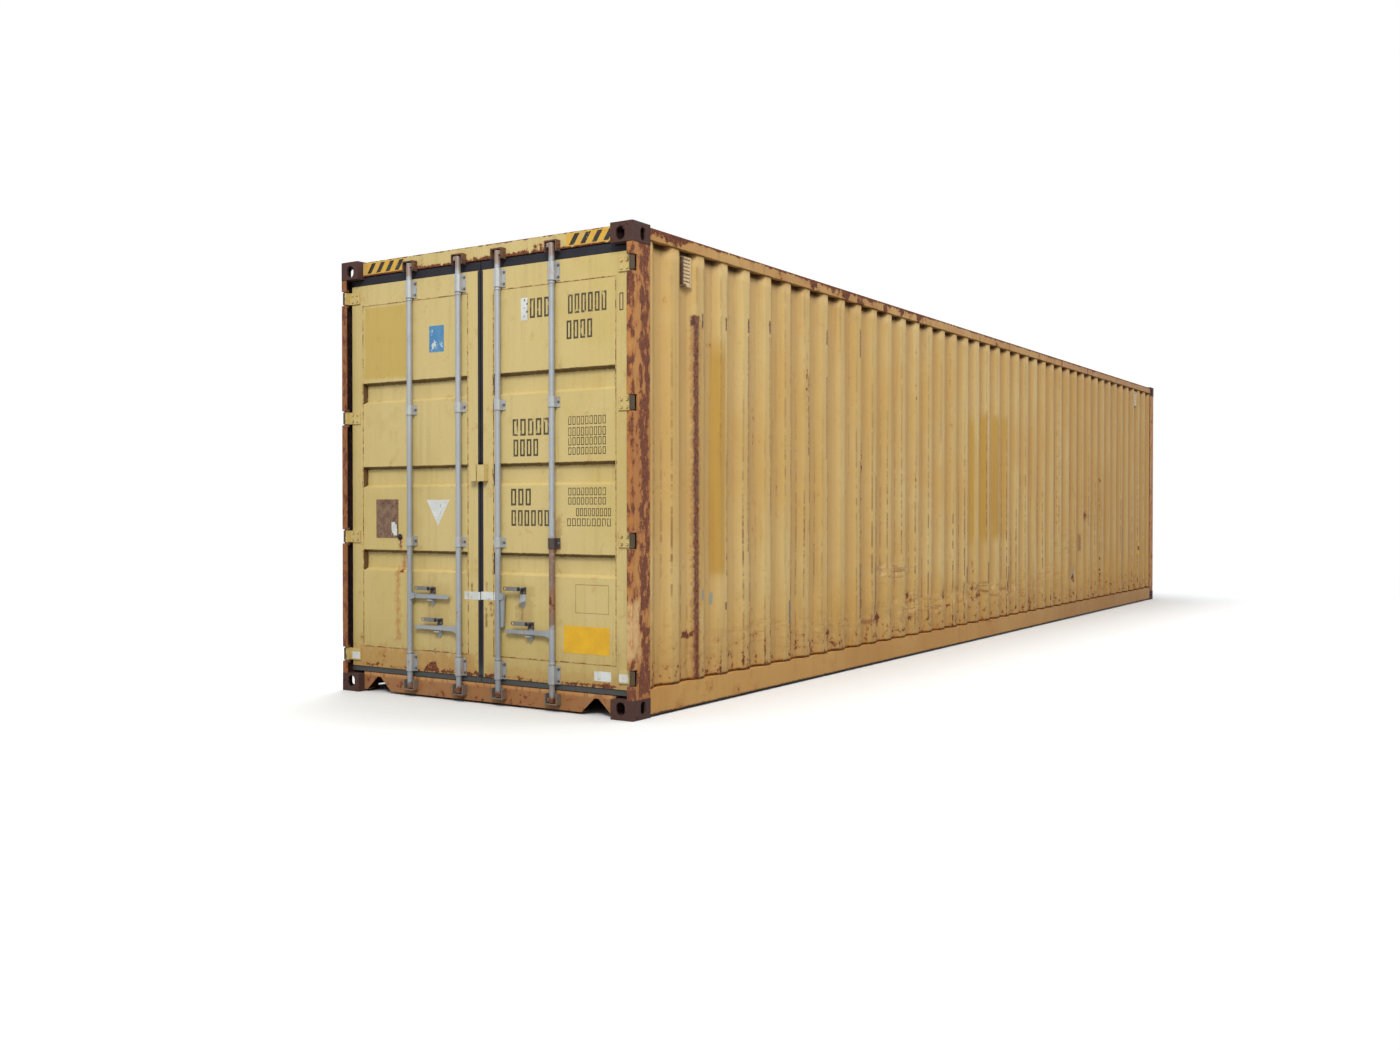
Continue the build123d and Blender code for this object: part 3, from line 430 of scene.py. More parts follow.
doorScratches = [  # place across, height, half length
    (-0.05, 0.74, 0.03), (0.075, 0.73, 0.03), (-0.045, 0.55, 0.06), (-0.085, 0.61, 0.02), (-0.34, 0.58, 0.03),
    (0.4, 0.31, 0.02),
]
looks = {
    "wallCoat": dict(
        # the troughs' colour is painted shade, and shade is the painted shadow in the tops of the troughs under the
        # top rail
        colors=wallColors, fresh="be923a", trough="ba8e52", line="7c4e32", shade="32201a", chip="e6cc9c", rust=0.27,
        fields=True, wear=0.1, lowGrime=0.22, lowRust=0.1, runDark=0.22, runThin=0.14, grimeTop=0.62, rustScale=20.0,
        marks=[
            (4.6, 0.0, 1.5, 1.2, 1.4, 2.0, "ac7c44", 0.62, 7.0), (0.0, 0.0, 0.1, 6.2, 1.4, 0.5, "ce9e4a", 0.35, 0.4),
            # a dark line along the foot of the wall: painted contact shadow, and dirt on the ledge of the bottom rail
            (0.0, 0.0, 0.172, 6.0, 1.4, 0.009, "3e261e", 0.95, 0.01),
            *map(strokeMark, wallStrokes),
            (-5.395, -1.19, 1.3, 0.012, 0.05, 1.12, "rust", 0.22, 0.02),
            (-5.47, -1.19, 0.455, 0.05, 0.05, 0.02, "rust", 0.3, 0.04),
        ],
    ),
    "roofCoat": dict(
        colors="b08a50 bc9a64 966c42 704e34", rust=0.34, wear=0.3, lowGrime=0.0, runDark=0.35, rustScale=7.0,
        marks=[(0.0, side * 1.15, 2.87, 5.9, 0.05, 0.03, "rust", 0.14, 0.06) for side in (1, -1)],
    ),
    "frontCoat": dict(
        colors=wallColors, rust=0.29, wear=0.2, lowGrime=0.3, lowRust=0.12, runDark=0.35, runThin=0.2, rustScale=12.0,
        marks=[
            (6.06, 0.0, 0.1, 0.08, 1.3, 0.5, "c4944a", 0.4, 0.4),
            # a dark band under the front header: painted shade; a dark line above the front sill: painted contact
            # shadow and dirt
            (6.06, 0.0, 2.77, 0.08, 1.2, 0.02, "5c3c2a", 0.8, 0.03),
            (6.06, 0.0, 0.118, 0.08, 1.2, 0.012, "3e261e", 0.9, 0.016),
        ],
    ),
    "topRailCoat": dict(
        colors="bc8a4a ca9e5c 98623a 623c2a", rust=0.38, wear=0.55, rustScale=8.0, lowGrime=0.0,
        marks=[
            (-5.75, 0.0, 2.87, 0.25, 1.3, 0.03, "rust", 0.2, 0.05),
            (0.0, 0.0, 2.88, 6.1, 1.3, 0.01, "rust", 0.26, 0.02),
            (-2.9, 0.0, 2.86, 1.1, 1.3, 0.05, "rust", 0.14, 0.3), (4.6, 0.0, 2.86, 1.5, 1.3, 0.1, "8e5836", 0.6, 4.0),
        ],
    ),
    "bottomRailCoat": dict(
        colors="c18d49 cb9b56 ae793e 6c462a", rust=0.32, wear=0.4, rustScale=7.0, lowGrime=0.2, grimeTop=0.1,
        marks=[
            (4.2, 0.0, 0.08, 2.0, 1.3, 0.2, "8c5a32", 0.75, 6.0),
            # a dark line along the rail's bottom edge: painted shadow under it
            (0.0, 0.0, 0.012, 6.2, 1.3, 0.01, "2c1e1a", 0.9, 0.008),
        ],
    ),
    "doorCoat": dict(
        colors=doorColors, outside=True, rust=0.26, wear=0.16, lowGrime=0.22, lowRust=0.06, runDark=0.18, runThin=0.1,
        grimeTop=0.62, rustScale=9.0, roughLow=0.38, roughHigh=0.58,
        marks=[
            (door, 0.8465, 2.3415, 0.02, 0.2, 0.238, "c8aa56", 0.85, 0.024),
            # painted shade on the upper slope of each recess, which faces down
            *[
                (door + 0.018, side * 0.5845, high - 0.01, 0.03, 0.482, 0.009, "54381c", 0.92, 0.006)
                for low, high in place["bands"] for side in (1, -1)
            ],
            # painted shade on the closed ends of the recesses
            *[
                (door + 0.02, side * y, (low + high) / 2, 0.019, 0.009, 0.066, "54361e", 0.9, 0.006)
                for low, high in place["bands"] for side, y in ((1, 1.061), (-1, 0.108))
            ],
            (door, 0.6, 0.22, 0.03, 0.56, 0.085, "c0863e", 0.6, 0.06),
            (door, -0.6, 0.2, 0.03, 0.56, 0.05, "be8a46", 0.4, 0.05),
            *[(door, y, z, 0.02, 0.006, half, "7e5432", 0.75, 0.016) for y, z, half in doorScratches],
            (door, -0.36, 0.63, 0.03, 0.07, 0.12, "b0925a", 0.5, 0.05),
            (door, 0.38, 0.58, 0.03, 0.12, 0.16, "b4965c", 0.35, 0.06),
            (door, 0.5, 0.182, 0.05, 0.62, 0.012, "rust", 0.2, 0.03),
            (door, -0.5, 0.182, 0.05, 0.62, 0.012, "rust", 0.2, 0.03),
            (door, 0.712, 1.02, 0.02, 0.012, 0.045, "rust", 0.3, 0.03),
            (door, 0.708, 0.93, 0.04, 0.012, 0.12, "aa6034", 0.8, 0.03),
            (door, 0.7, 0.82, 0.04, 0.02, 0.012, "rust", 0.28, 0.02),
            (door, 0.735, 0.6, 0.03, 0.016, 0.24, "b87638", 0.65, 0.04),
            (door, 0.44, 0.21, 0.02, 0.05, 0.03, "rust", 0.25, 0.04),
            (door, -0.08, 0.6, 0.02, 0.02, 0.05, "rust", 0.25, 0.03),
            (door, -0.62, 1.02, 0.02, 0.03, 0.16, "96683c", 0.45, 0.05),
        ],
    ),
    "headerCoat": dict(
        colors=doorColors, rust=0.3, wear=0.35, lowGrime=0.0, runDark=0.2, rustScale=9.0,
        marks=[
            (door, 0.0, 2.798, 0.03, 1.1, 0.013, "rust", 0.46, 0.034),
            (door, -0.52, 2.84, 0.03, 0.09, 0.02, "rust", 0.2, 0.04),
            (door, 0.17, 2.81, 0.03, 0.05, 0.02, "rust", 0.2, 0.04),
            (door, 0.0, 2.889, 0.03, 1.1, 0.004, "rust", 0.3, 0.012),
        ],
    ),
    "sillCoat": dict(
        colors="c08a52 cc9a62 a4683c 68402c", rust=0.33, wear=0.4, lowGrime=0.45, grimeTop=0.12, lowRust=0.08,
        rustScale=16.0, halo=0.6, stain="a8683c",
    ),
    "postCoat": dict(
        colors="b87b3e c48d4e a26636 68402c", rust=0.42, wear=0.5, lowGrime=0.25, rustScale=24.0, halo=0.75,
        rustWay=(1, 1, 0.45), rustDark="58322a", rustBright="8e5436", stain="aa6838",
        marks=[
            # the left post darkened: painted shade
            (-6.07, 1.19, 1.45, 0.06, 0.04, 1.6, "684026", 0.75, 0.01),
            (-5.975, 0.0, 1.5, 0.045, 1.3, 1.35, "rust", 0.14, 0.03),
            (-6.09, 0.0, 1.5, 0.012, 1.3, 1.35, "rust", 0.06, 0.02),
            (-6.088, -1.205, 2.6, 0.01, 0.05, 0.1, "rust", 0.16, 0.05),
            (-6.07, -1.195, 0.52, 0.05, 0.05, 0.17, "deba84", 0.85, 0.12),
            (-6.07, -1.195, 0.52, 0.05, 0.05, 0.17, "rust", -0.12, 0.1),
            # the inner side of each post's channel beside the doors: painted shade, near black, with its rust taken
            # out
            *[(-6.0, side * 1.165, 1.45, 0.082, 0.0445, 1.6, "1a1922", 0.97, 0.003) for side in (1, -1)],
            *[(-6.0, side * 1.165, 1.45, 0.082, 0.0445, 1.6, "rust", -0.5, 0.003) for side in (1, -1)],
        ],
    ),
    "castingCoat": dict(
        colors="462d29 543730 342423 2a1e20", rust=0.42, wear=0.25, lowGrime=0.1, rustScale=9.0, roughLow=0.6,
        roughHigh=0.85, rustDark="321e20", rustBright="5e3c32", stain="54362e", bump=0.9, relief=0.9,
    ),
    "keeperCoat": dict(
        colors="9e9a92 b0aeaa 7c6c5c 524238", rust=0.34, wear=0.4, rustScale=14.0, lowGrime=0.15, metal=0.25,
        rustDark="3a2420", rustBright="704430",
        marks=[
            (-6.07, 0.0, 0.07, 0.05, 0.8, 0.05, "706054", 0.6, 0.03),
            (-6.07, 0.0, 2.82, 0.05, 0.8, 0.08, "4a322c", 0.9, 0.03),
            (-6.07, 0.0, 2.82, 0.05, 0.8, 0.08, "rust", 0.08, 0.03),
        ],
    ),
    "hingeCoat": dict(
        colors=doorColors, rust=0.31, wear=0.5, rustScale=12.0, lowGrime=0.1,
        # the outer ends of the hinge knuckles, in the posts' window: painted shade
        marks=[(-6.07, side * 1.2045, 1.45, 0.05, 0.0165, 1.6, "2c201e", 0.92, 0.006) for side in (1, -1)],
    ),
    "seamCoverCoat": dict(colors=doorColors, rust=0.3, wear=0.5, rustScale=12.0, lowGrime=0.1),
    "pinSteel": dict(colors="6e5446 846e5c 543a30 3c2a24", rust=0.42, wear=0.2, rustScale=16.0, metal=0.3),
    "zincCoat": dict(
        colors="9a9fa4 b0b5ba 84878a 68625a", rust=0.26, wear=0.25, rustScale=14.0, metal=0.35, lowGrime=0.1,
        roughLow=0.38, roughHigh=0.6, runDark=0.15, gloss=0.5,
        marks=[
            (-6.072, -0.599, 0.8, 0.04, 0.04, 0.24, "rust", 0.2, 0.05),
            (-6.072, -0.599, 0.78, 0.04, 0.04, 0.26, "80583e", 0.8, 0.05),
            (-6.072, 0.0, 0.075, 0.05, 0.9, 0.02, "rust", 0.2, 0.03),
            (-6.072, 0.0, 0.07, 0.05, 0.9, 0.022, "463630", 0.85, 0.02),
            (-6.072, 0.0, 2.81, 0.05, 0.9, 0.06, "96745c", 0.7, 0.03),
        ],
    ),
    "haspCoat": dict(
        colors="747472 8c8d8c 56504a 423832", rust=0.33, wear=0.3, rustScale=18.0, metal=0.35, lowGrime=0.1,
    ),
    "guideCoat": dict(
        colors="aaaeb0 babec0 929088 6c6050", rust=0.28, wear=0.3, rustScale=16.0, metal=0.3, lowGrime=0.1,
        marks=[
            (-6.06, -0.599, 1.022, 0.05, 0.05, 0.04, "3a2220", 0.9, 0.01),
            *[(-6.07, y, z + 0.04, 0.05, 0.028, 0.022, "2a2626", 0.9, 0.01) for y, z in haspSpots],
        ],
    ),
    "underCoat": dict(
        colors="3a3634 4a423c 584232 302824", rust=0.38, wear=0.3, rustScale=4.0, lowGrime=0.0, roughLow=0.6,
        roughHigh=0.85,
    ),
    "boltCoat": dict(
        colors="5c5856 706c68 4c4038 3c2e28", rust=0.36, wear=0.3, rustScale=40.0, metal=0.3, lowGrime=0.0,
    ),
    "ventCoat": dict(
        colors="d0b486 d8c096 b49264 684632", rust=0.27, wear=0.4, rustScale=22.0, lowGrime=0.0,
        marks=[
            (-5.545, 0.0, 2.69, 0.012, 1.3, 0.085, "422620", 0.95, 0.012),
            (-5.53, 0.0, 2.603, 0.022, 1.3, 0.012, "422620", 0.95, 0.014),
            (5.217, 0.0, 2.69, 0.06, 1.3, 0.1, "d6ccb8", 0.6, 0.01),
        ],
    ),
    "beadCoat": dict(
        colors=doorColors, rust=0.46, wear=0.1, rustScale=26.0, lowGrime=0.2, halo=0.8, rustDark="603c26",
        rustBright="96643a",
    ),
}
coats = {name: weathered(name, look) for name, look in looks.items()}
print("stage: coats mixed,", len(coats))

# What a thin coat has unless its own look says otherwise
usualFilm = {
    "slow": 6.0, "fine": 60.0, "warp": 0.0, "blend": (0.35, 0.65), "dust": 0.3, "dustAt": (0.5, 0.75),
    "slowRelief": 0.5, "roughAt": (0.2, 0.8), "roughLow": 0.45, "roughHigh": 0.7, "bump": 0.3, "bumpDepth": 0.001,
    "gloss": 0.4, "stretch": None, "planks": None, "groove": "2c2018", "grooveWide": 0.004, "grooveDeep": 2.0,
    "dusty": None, "dustyAt": (0.3, 0.15), "dustyShare": 0.8, "chip": None, "chipAt": (0.6, 0.64),
}


def plainCoat(name, look):
    # a thin coat of one kind with slow and fine tone changes: rubber, wood, films
    look = {**usualFilm, **look}
    base, other, dirt = look["colors"].split()
    material, desk, where = startCoat(name)
    vector = desk.stretch(where, *look["stretch"]) if look["stretch"] else where
    slow = desk.noise(vector, look["slow"], 4.0, 0.6, look["warp"])
    fine = desk.noise(vector, look["fine"], 3.0, 0.6)
    color = desk.mix(desk.step(slow, *look["blend"]), base, other)
    color = desk.cover(color, dirt, desk.step(fine, *look["dustAt"]), look["dust"])
    relief = desk.plus(fine, desk.times(slow, look["slowRelief"]))
    if look["planks"]:
        seam = desk.sum("PINGPONG", desk.plus(desk.axis(where, 1), 10.0), look["planks"] / 2)
        groove = desk.step(seam, 0.0, look["grooveWide"])
        color = desk.mix(groove, look["groove"], color)
        relief = desk.plus(relief, desk.times(groove, look["grooveDeep"]))
    if look["dusty"]:
        low = desk.step(desk.axis(where, 2), *look["dustyAt"])
        color = desk.cover(color, look["dusty"], low, look["dustyShare"])
    if look["chip"]:
        gone = desk.noise(where, look["chip"], 5.0, 0.7)
        color = desk.mix(desk.step(gone, *look["chipAt"]), color, look["under"])
    rough = desk.span(fine, *look["roughAt"], look["roughLow"], look["roughHigh"])
    endCoat(desk, look, relief, None, Base_Color=color, Roughness=rough)
    return material


filmLooks = {
    "rubber": dict(
        colors="1a1a24 24242e 5c5040", dust=0.2, slow=5.0, fine=70.0, roughLow=0.55, roughHigh=0.8, dusty="545654",
    ),
    "floorWood": dict(
        colors="7a5436 60402a 463428", dust=0.4, stretch=(1.0, 18.0, 18.0), slow=1.5, fine=6.0, warp=0.5, planks=0.3,
        roughLow=0.6, roughHigh=0.85,
    ),
    "blueFilm": dict(colors="4682b2 5c94be 96b4c4", dust=0.4, slow=12.0, fine=90.0, chip=16.0, under="ced6d6"),
    "whiteFilm": dict(colors="e2e4e0 d4d6d0 b4ac98", dust=0.35, slow=14.0, fine=90.0, chip=22.0, under="bcb092"),
    "amberFilm": dict(colors="ecb828 e2ac2c c4963e", dust=0.3, slow=9.0, fine=80.0),
    "amberWorn": dict(colors="e0b042 d6a84e aa7c3e", dust=0.4, slow=12.0, fine=80.0, chip=13.0, under="c6ae6c"),
    "blackFilm": dict(colors="242220 3a362e 786846", dust=0.3, slow=14.0, fine=90.0, chip=15.0, under="bea86c"),
    "stencilFilm": dict(colors="423a2a 5c523a 8c7a50", dust=0.45, slow=9.0, fine=70.0, chip=18.0, under="c4b074"),
    "plateFilm": dict(
        colors="8c7058 745846 543a2c", dust=0.5, slow=20.0, fine=90.0, chip=26.0, under="5e3a28", roughLow=0.4,
        roughHigh=0.7,
    ),
    "ghostFilm": dict(colors="a28a5c ae9664 c4ae76", dust=0.5, slow=14.0, fine=60.0, chip=20.0, under="cab476"),
}
coats.update({name: plainCoat(name, look) for name, look in filmLooks.items()})
print("stage: films mixed,", len(filmLooks))

# Which coat each CAD piece wears
nodeCoats = {
    "casting": "castingCoat", "side_wall": "wallCoat", "front_wall": "frontCoat", "roof_panel": "roofCoat",
    "top_rail": "topRailCoat", "bottom_rail": "bottomRailCoat", "door_post": "postCoat", "front_post": "postCoat",
    "front_header": "topRailCoat", "front_sill": "bottomRailCoat", "door_header": "headerCoat",
    "door_sill": "sillCoat", "hinge_pins": "pinSteel", "cam_keepers": "keeperCoat", "ventilators": "ventCoat",
    "cross_members": "underCoat", "gooseneck_tunnel": "underCoat", "tunnel_side": "underCoat", "lock_bar": "zincCoat",
    "handle": "zincCoat", "hasp": "haspCoat", "floor_boards": "floorWood",
}
doorCoats = {
    "frame": "doorCoat", "panel": "doorCoat", "gasket": "rubber", "hinges": "hingeCoat", "bar_guides": "guideCoat",
    "retainers": "guideCoat", "seam_cover": "seamCoverCoat",
}
for nodeName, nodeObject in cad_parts.items():
    ending = nodeName.replace("door_left_", "").replace("door_right_", "")
    found = doorCoats.get(ending) or next(coat for start, coat in nodeCoats.items() if nodeName.startswith(start))
    if not nodeObject.material_slots:
        nodeObject.data.materials.append(coats[found])
    for materialSlot in nodeObject.material_slots:
        materialSlot.material = coats[found]


def finishPiece(name, shape, coat, body, smooth=False):
    # a shape is its points and its faces: both go into one mesh that rides on its body
    points, faces = shape
    mesh = bpy.data.meshes.new(name)
    mesh.from_pydata(np.asarray(points, dtype=float).reshape(-1, 3).tolist(), [], [list(face) for face in faces])
    mesh.update()
    if smooth:
        mesh.polygons.foreach_set("use_smooth", np.ones(len(mesh.polygons), dtype=bool))
    mesh.materials.append(coats[coat])
    piece = bpy.data.objects.new(name, mesh)
    bpy.context.scene.collection.objects.link(piece)
    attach(piece, body)
    return piece


def gridFaces(rows, columns, around=False):
    # each cell of a rows by columns grid of points is one face, with the last column joined to the first when around
    index = np.arange(rows * columns).reshape(rows, columns)
    right = np.roll(index, -1, axis=1)
    cells = np.stack([index[:-1], right[:-1], right[1:], index[1:]], axis=-1)
    if not around:
        cells = cells[:, :-1]
    return cells.reshape(-1, 4)


def repeated(shape, offsets):
    # the same shape at every offset
    return joined([(shape[0] + np.array(offset), shape[1]) for offset in offsets])


def turnedShape(profile, sides, axis="-x"):
    # a profile of radius and height turned round Z or round minus X, closed at both ends
    profile = np.asarray(profile, dtype=float)
    angle = np.arange(sides) / sides * 2 * np.pi
    radius, rise = profile[:, 0][:, None], profile[:, 1][:, None]
    a, b, c = radius * np.cos(angle), radius * np.sin(angle), rise + 0 * angle
    points = np.stack((a, b, c) if axis == "z" else (-c, -a, b), axis=-1).reshape(-1, 3)
    faces = [list(face) for face in gridFaces(len(profile), sides, True)]
    last = (len(profile) - 1) * sides
    faces.append(list(range(sides))[::-1])
    faces.append(list(range(last, last + sides)))
    return points, faces


def rimOf(rows, columns):
    # the point numbers round the edge of a grid, in order
    order = np.arange(rows * columns).reshape(rows, columns)
    return np.concatenate([order[0, :-1], order[:-1, -1], order[-1, :0:-1], order[:0:-1, 0]])


def slabShape(y, z, x, thick, columns=2, rows=2, relief=None):
    # a thin slab on the plane X = x: a grid of points whose rim drops back by thick, closed behind
    across = np.linspace(y[1], y[0], columns)
    up = np.linspace(z[0], z[1], rows)
    gridY, gridZ = np.meshgrid(across, up)
    front = x - thick + (0 if relief is None else relief(gridY, gridZ))
    face = np.stack([front + 0 * gridY, gridY, gridZ], axis=-1).reshape(-1, 3)
    ring = rimOf(rows, columns)
    back = face[ring].copy()
    back[:, 0] = x
    count = rows * columns
    faces = [list(cell) for cell in gridFaces(rows, columns)]
    following = np.roll(np.arange(len(ring)), -1)
    faces += [
        [int(ring[k]), int(count + k), int(count + following[k]), int(ring[following[k]])] for k in range(len(ring))
    ]
    faces.append([count + k for k in range(len(ring))][::-1])
    return np.concatenate([face, back]), faces


def joined(shapes):
    # several shapes made one: their points follow each other and their face numbers shift
    points, faces, start = [], [], 0
    for shapePoints, shapeFaces in shapes:
        points.append(shapePoints)
        faces += [[int(corner) + start for corner in face] for face in shapeFaces]
        start += len(shapePoints)
    return np.concatenate(points), faces


dents = [  # place along X, height, reach along X, reach in height, depth inwards
    (-2.68, 0.371, 0.2, 0.1, 0.013), (-2.086, 0.496, 0.14, 0.1, 0.012), (-1.325, 0.458, 0.16, 0.08, 0.014),
    (-0.478, 0.416, 0.15, 0.09, 0.013), (0.332, 0.47, 0.12, 0.08, 0.011), (-1.56, 0.52, 0.1, 0.12, 0.01),
    (-0.9, 0.45, 0.2, 0.06, 0.012), (2.49, 0.48, 0.12, 0.1, 0.01), (-3.9, 0.62, 0.22, 0.3, 0.007),
    (1.2, 1.1, 0.35, 0.35, 0.006), (-4.9, 1.25, 0.3, 0.4, 0.006), (3.4, 0.9, 0.3, 0.3, 0.006),
]
wallRuns = [  # place along X, top, bottom, half width, strength
    (-4.662, 2.43, 0.89, 0.009, 0.26), (-4.445, 2.455, 0.88, 0.009, 0.26), (-3.938, 2.48, 1.65, 0.009, 0.28),
    (-5.202, 2.4, 1.1, 0.008, 0.16), (-4.169, 2.45, 0.9, 0.008, 0.18), (-3.859, 2.5, 1.4, 0.008, 0.15),
    (-2.99, 1.9, 0.35, 0.009, 0.24), (-2.45, 1.5, 0.3, 0.009, 0.2), (-0.62, 0.85, 0.34, 0.01, 0.34),
    (-1.05, 0.8, 0.4, 0.009, 0.3), (2.993, 1.2, 1.05, 0.03, 0.34), (4.63, 1.9, 0.17, 0.01, 0.34),
    (4.35, 1.5, 0.2, 0.009, 0.24), (-5.03, 2.4, 0.5, 0.008, 0.14), (0.9, 2.2, 0.5, 0.009, 0.16),
    (1.9, 2.4, 0.9, 0.009, 0.16), (-2.0, 2.6, 1.2, 0.009, 0.16), (-1.2, 2.7, 1.5, 0.009, 0.14),
    (3.6, 2.0, 0.3, 0.009, 0.18), (5.3, 2.3, 0.2, 0.009, 0.2), (-3.3, 1.6, 0.25, 0.009, 0.18),
]
wallBlots = [  # place along X, height, reach along X, reach in height, strength
    (-1.31, 0.47, 0.05, 0.05, 0.34), (-0.48, 0.42, 0.11, 0.03, 0.36), (0.33, 0.47, 0.05, 0.03, 0.34),
    (-2.68, 0.36, 0.04, 0.05, 0.3), (-2.09, 0.49, 0.04, 0.05, 0.24), (2.49, 0.45, 0.04, 0.05, 0.24),
    (-3.6, 0.3, 0.05, 0.05, 0.24), (-5.86, 1.5, 0.02, 1.2, 0.16),
]
freshBands = [  # from X, to X, from height, to height, strength
    (-5.375, -5.325, 0.59, 2.404, 0.7), (-5.195, -5.055, 0.8, 2.27, 1.0), (-0.71, -0.62, 0.9, 2.08, 0.9),
    (-0.44, -0.3, 0.9, 2.1, 1.0), (-0.1, 0.03, 0.95, 2.12, 0.95), (0.17, 0.27, 0.95, 2.13, 0.7),
]
scuffs = [  # place along X, height, reach along X, reach in height, strength
    (-2.45, 0.72, 0.3, 0.07, 0.75), (-2.1, 0.42, 0.4, 0.09, 0.8), (-1.3, 0.38, 0.45, 0.08, 0.85),
    (-0.45, 0.46, 0.45, 0.09, 1.0), (0.35, 0.42, 0.45, 0.08, 0.8), (-3.5, 0.36, 0.5, 0.1, 0.5),
    (-4.6, 0.4, 0.6, 0.1, 0.35), (1.6, 0.5, 0.8, 0.12, 0.3), (2.2, 0.85, 0.35, 0.12, 0.5), (3.1, 1.1, 0.15, 0.1, 0.5),
]


def wallSection():
    # the pressed line: flats and troughs as corner points, each corner rounded by a short parabola, long runs halved
    slope = (wall["pitch"] - wall["outerFlat"] - wall["innerFlat"]) / 2
    centres = (np.arange(wall["count"]) - (wall["count"] - 1) / 2) * wall["pitch"]
    half = wall["innerFlat"] / 2
    steps = np.array([-half - slope, -half, half, half + slope])
    x = (centres[:, None] + steps[None, :]).ravel()
    y = np.tile([0.0, wall["depth"], wall["depth"], 0.0], wall["count"])
    x = np.concatenate([[-place["wallHalf"]], x, [place["wallHalf"]]])
    y = np.concatenate([[0.0], y, [0.0]])
    line = np.stack([x, y], axis=1)
    way = np.diff(line, axis=0)
    way /= np.linalg.norm(way, axis=1)[:, None]
    share = np.linspace(0, 1, 4)[None, :, None]
    before = (line[1:-1] - way[:-1] * wall["bend"])[:, None, :]
    after = (line[1:-1] + way[1:] * wall["bend"])[:, None, :]
    corner = line[1:-1][:, None, :]
    bends = ((1 - share) ** 2 * before + 2 * share * (1 - share) * corner + share**2 * after).reshape(-1, 2)
    line = np.concatenate([line[:1], bends, line[-1:]])
    gaps = np.diff(line[:, 0])
    middles = ((line[1:] + line[:-1]) / 2)[gaps > wall["longestRun"]]
    line = np.concatenate([line, middles])
    return line[np.argsort(line[:, 0])]


def bell(x, z, spots):
    # sum of bell curves, each with its own place, reaches and strength
    total = np.zeros_like(x)
    for atX, atZ, reachX, reachZ, strength in spots:
        total += strength * np.exp(-(((x - atX) / reachX) ** 2) - ((z - atZ) / reachZ) ** 2)
    return total


def fadeIn(value, low, high):
    # a smooth S from zero at low to one at high
    share = np.clip((value - low) / (high - low), 0, 1)
    return share * share * (3 - 2 * share)


def between(value, low, high, atLow, atHigh):
    # one from low to high; each smooth end is given by how far it reaches out and in
    return fadeIn(value, low - atLow[0], low + atLow[1]) * fadeIn(-value, -high - atHigh[0], -high + atHigh[1])


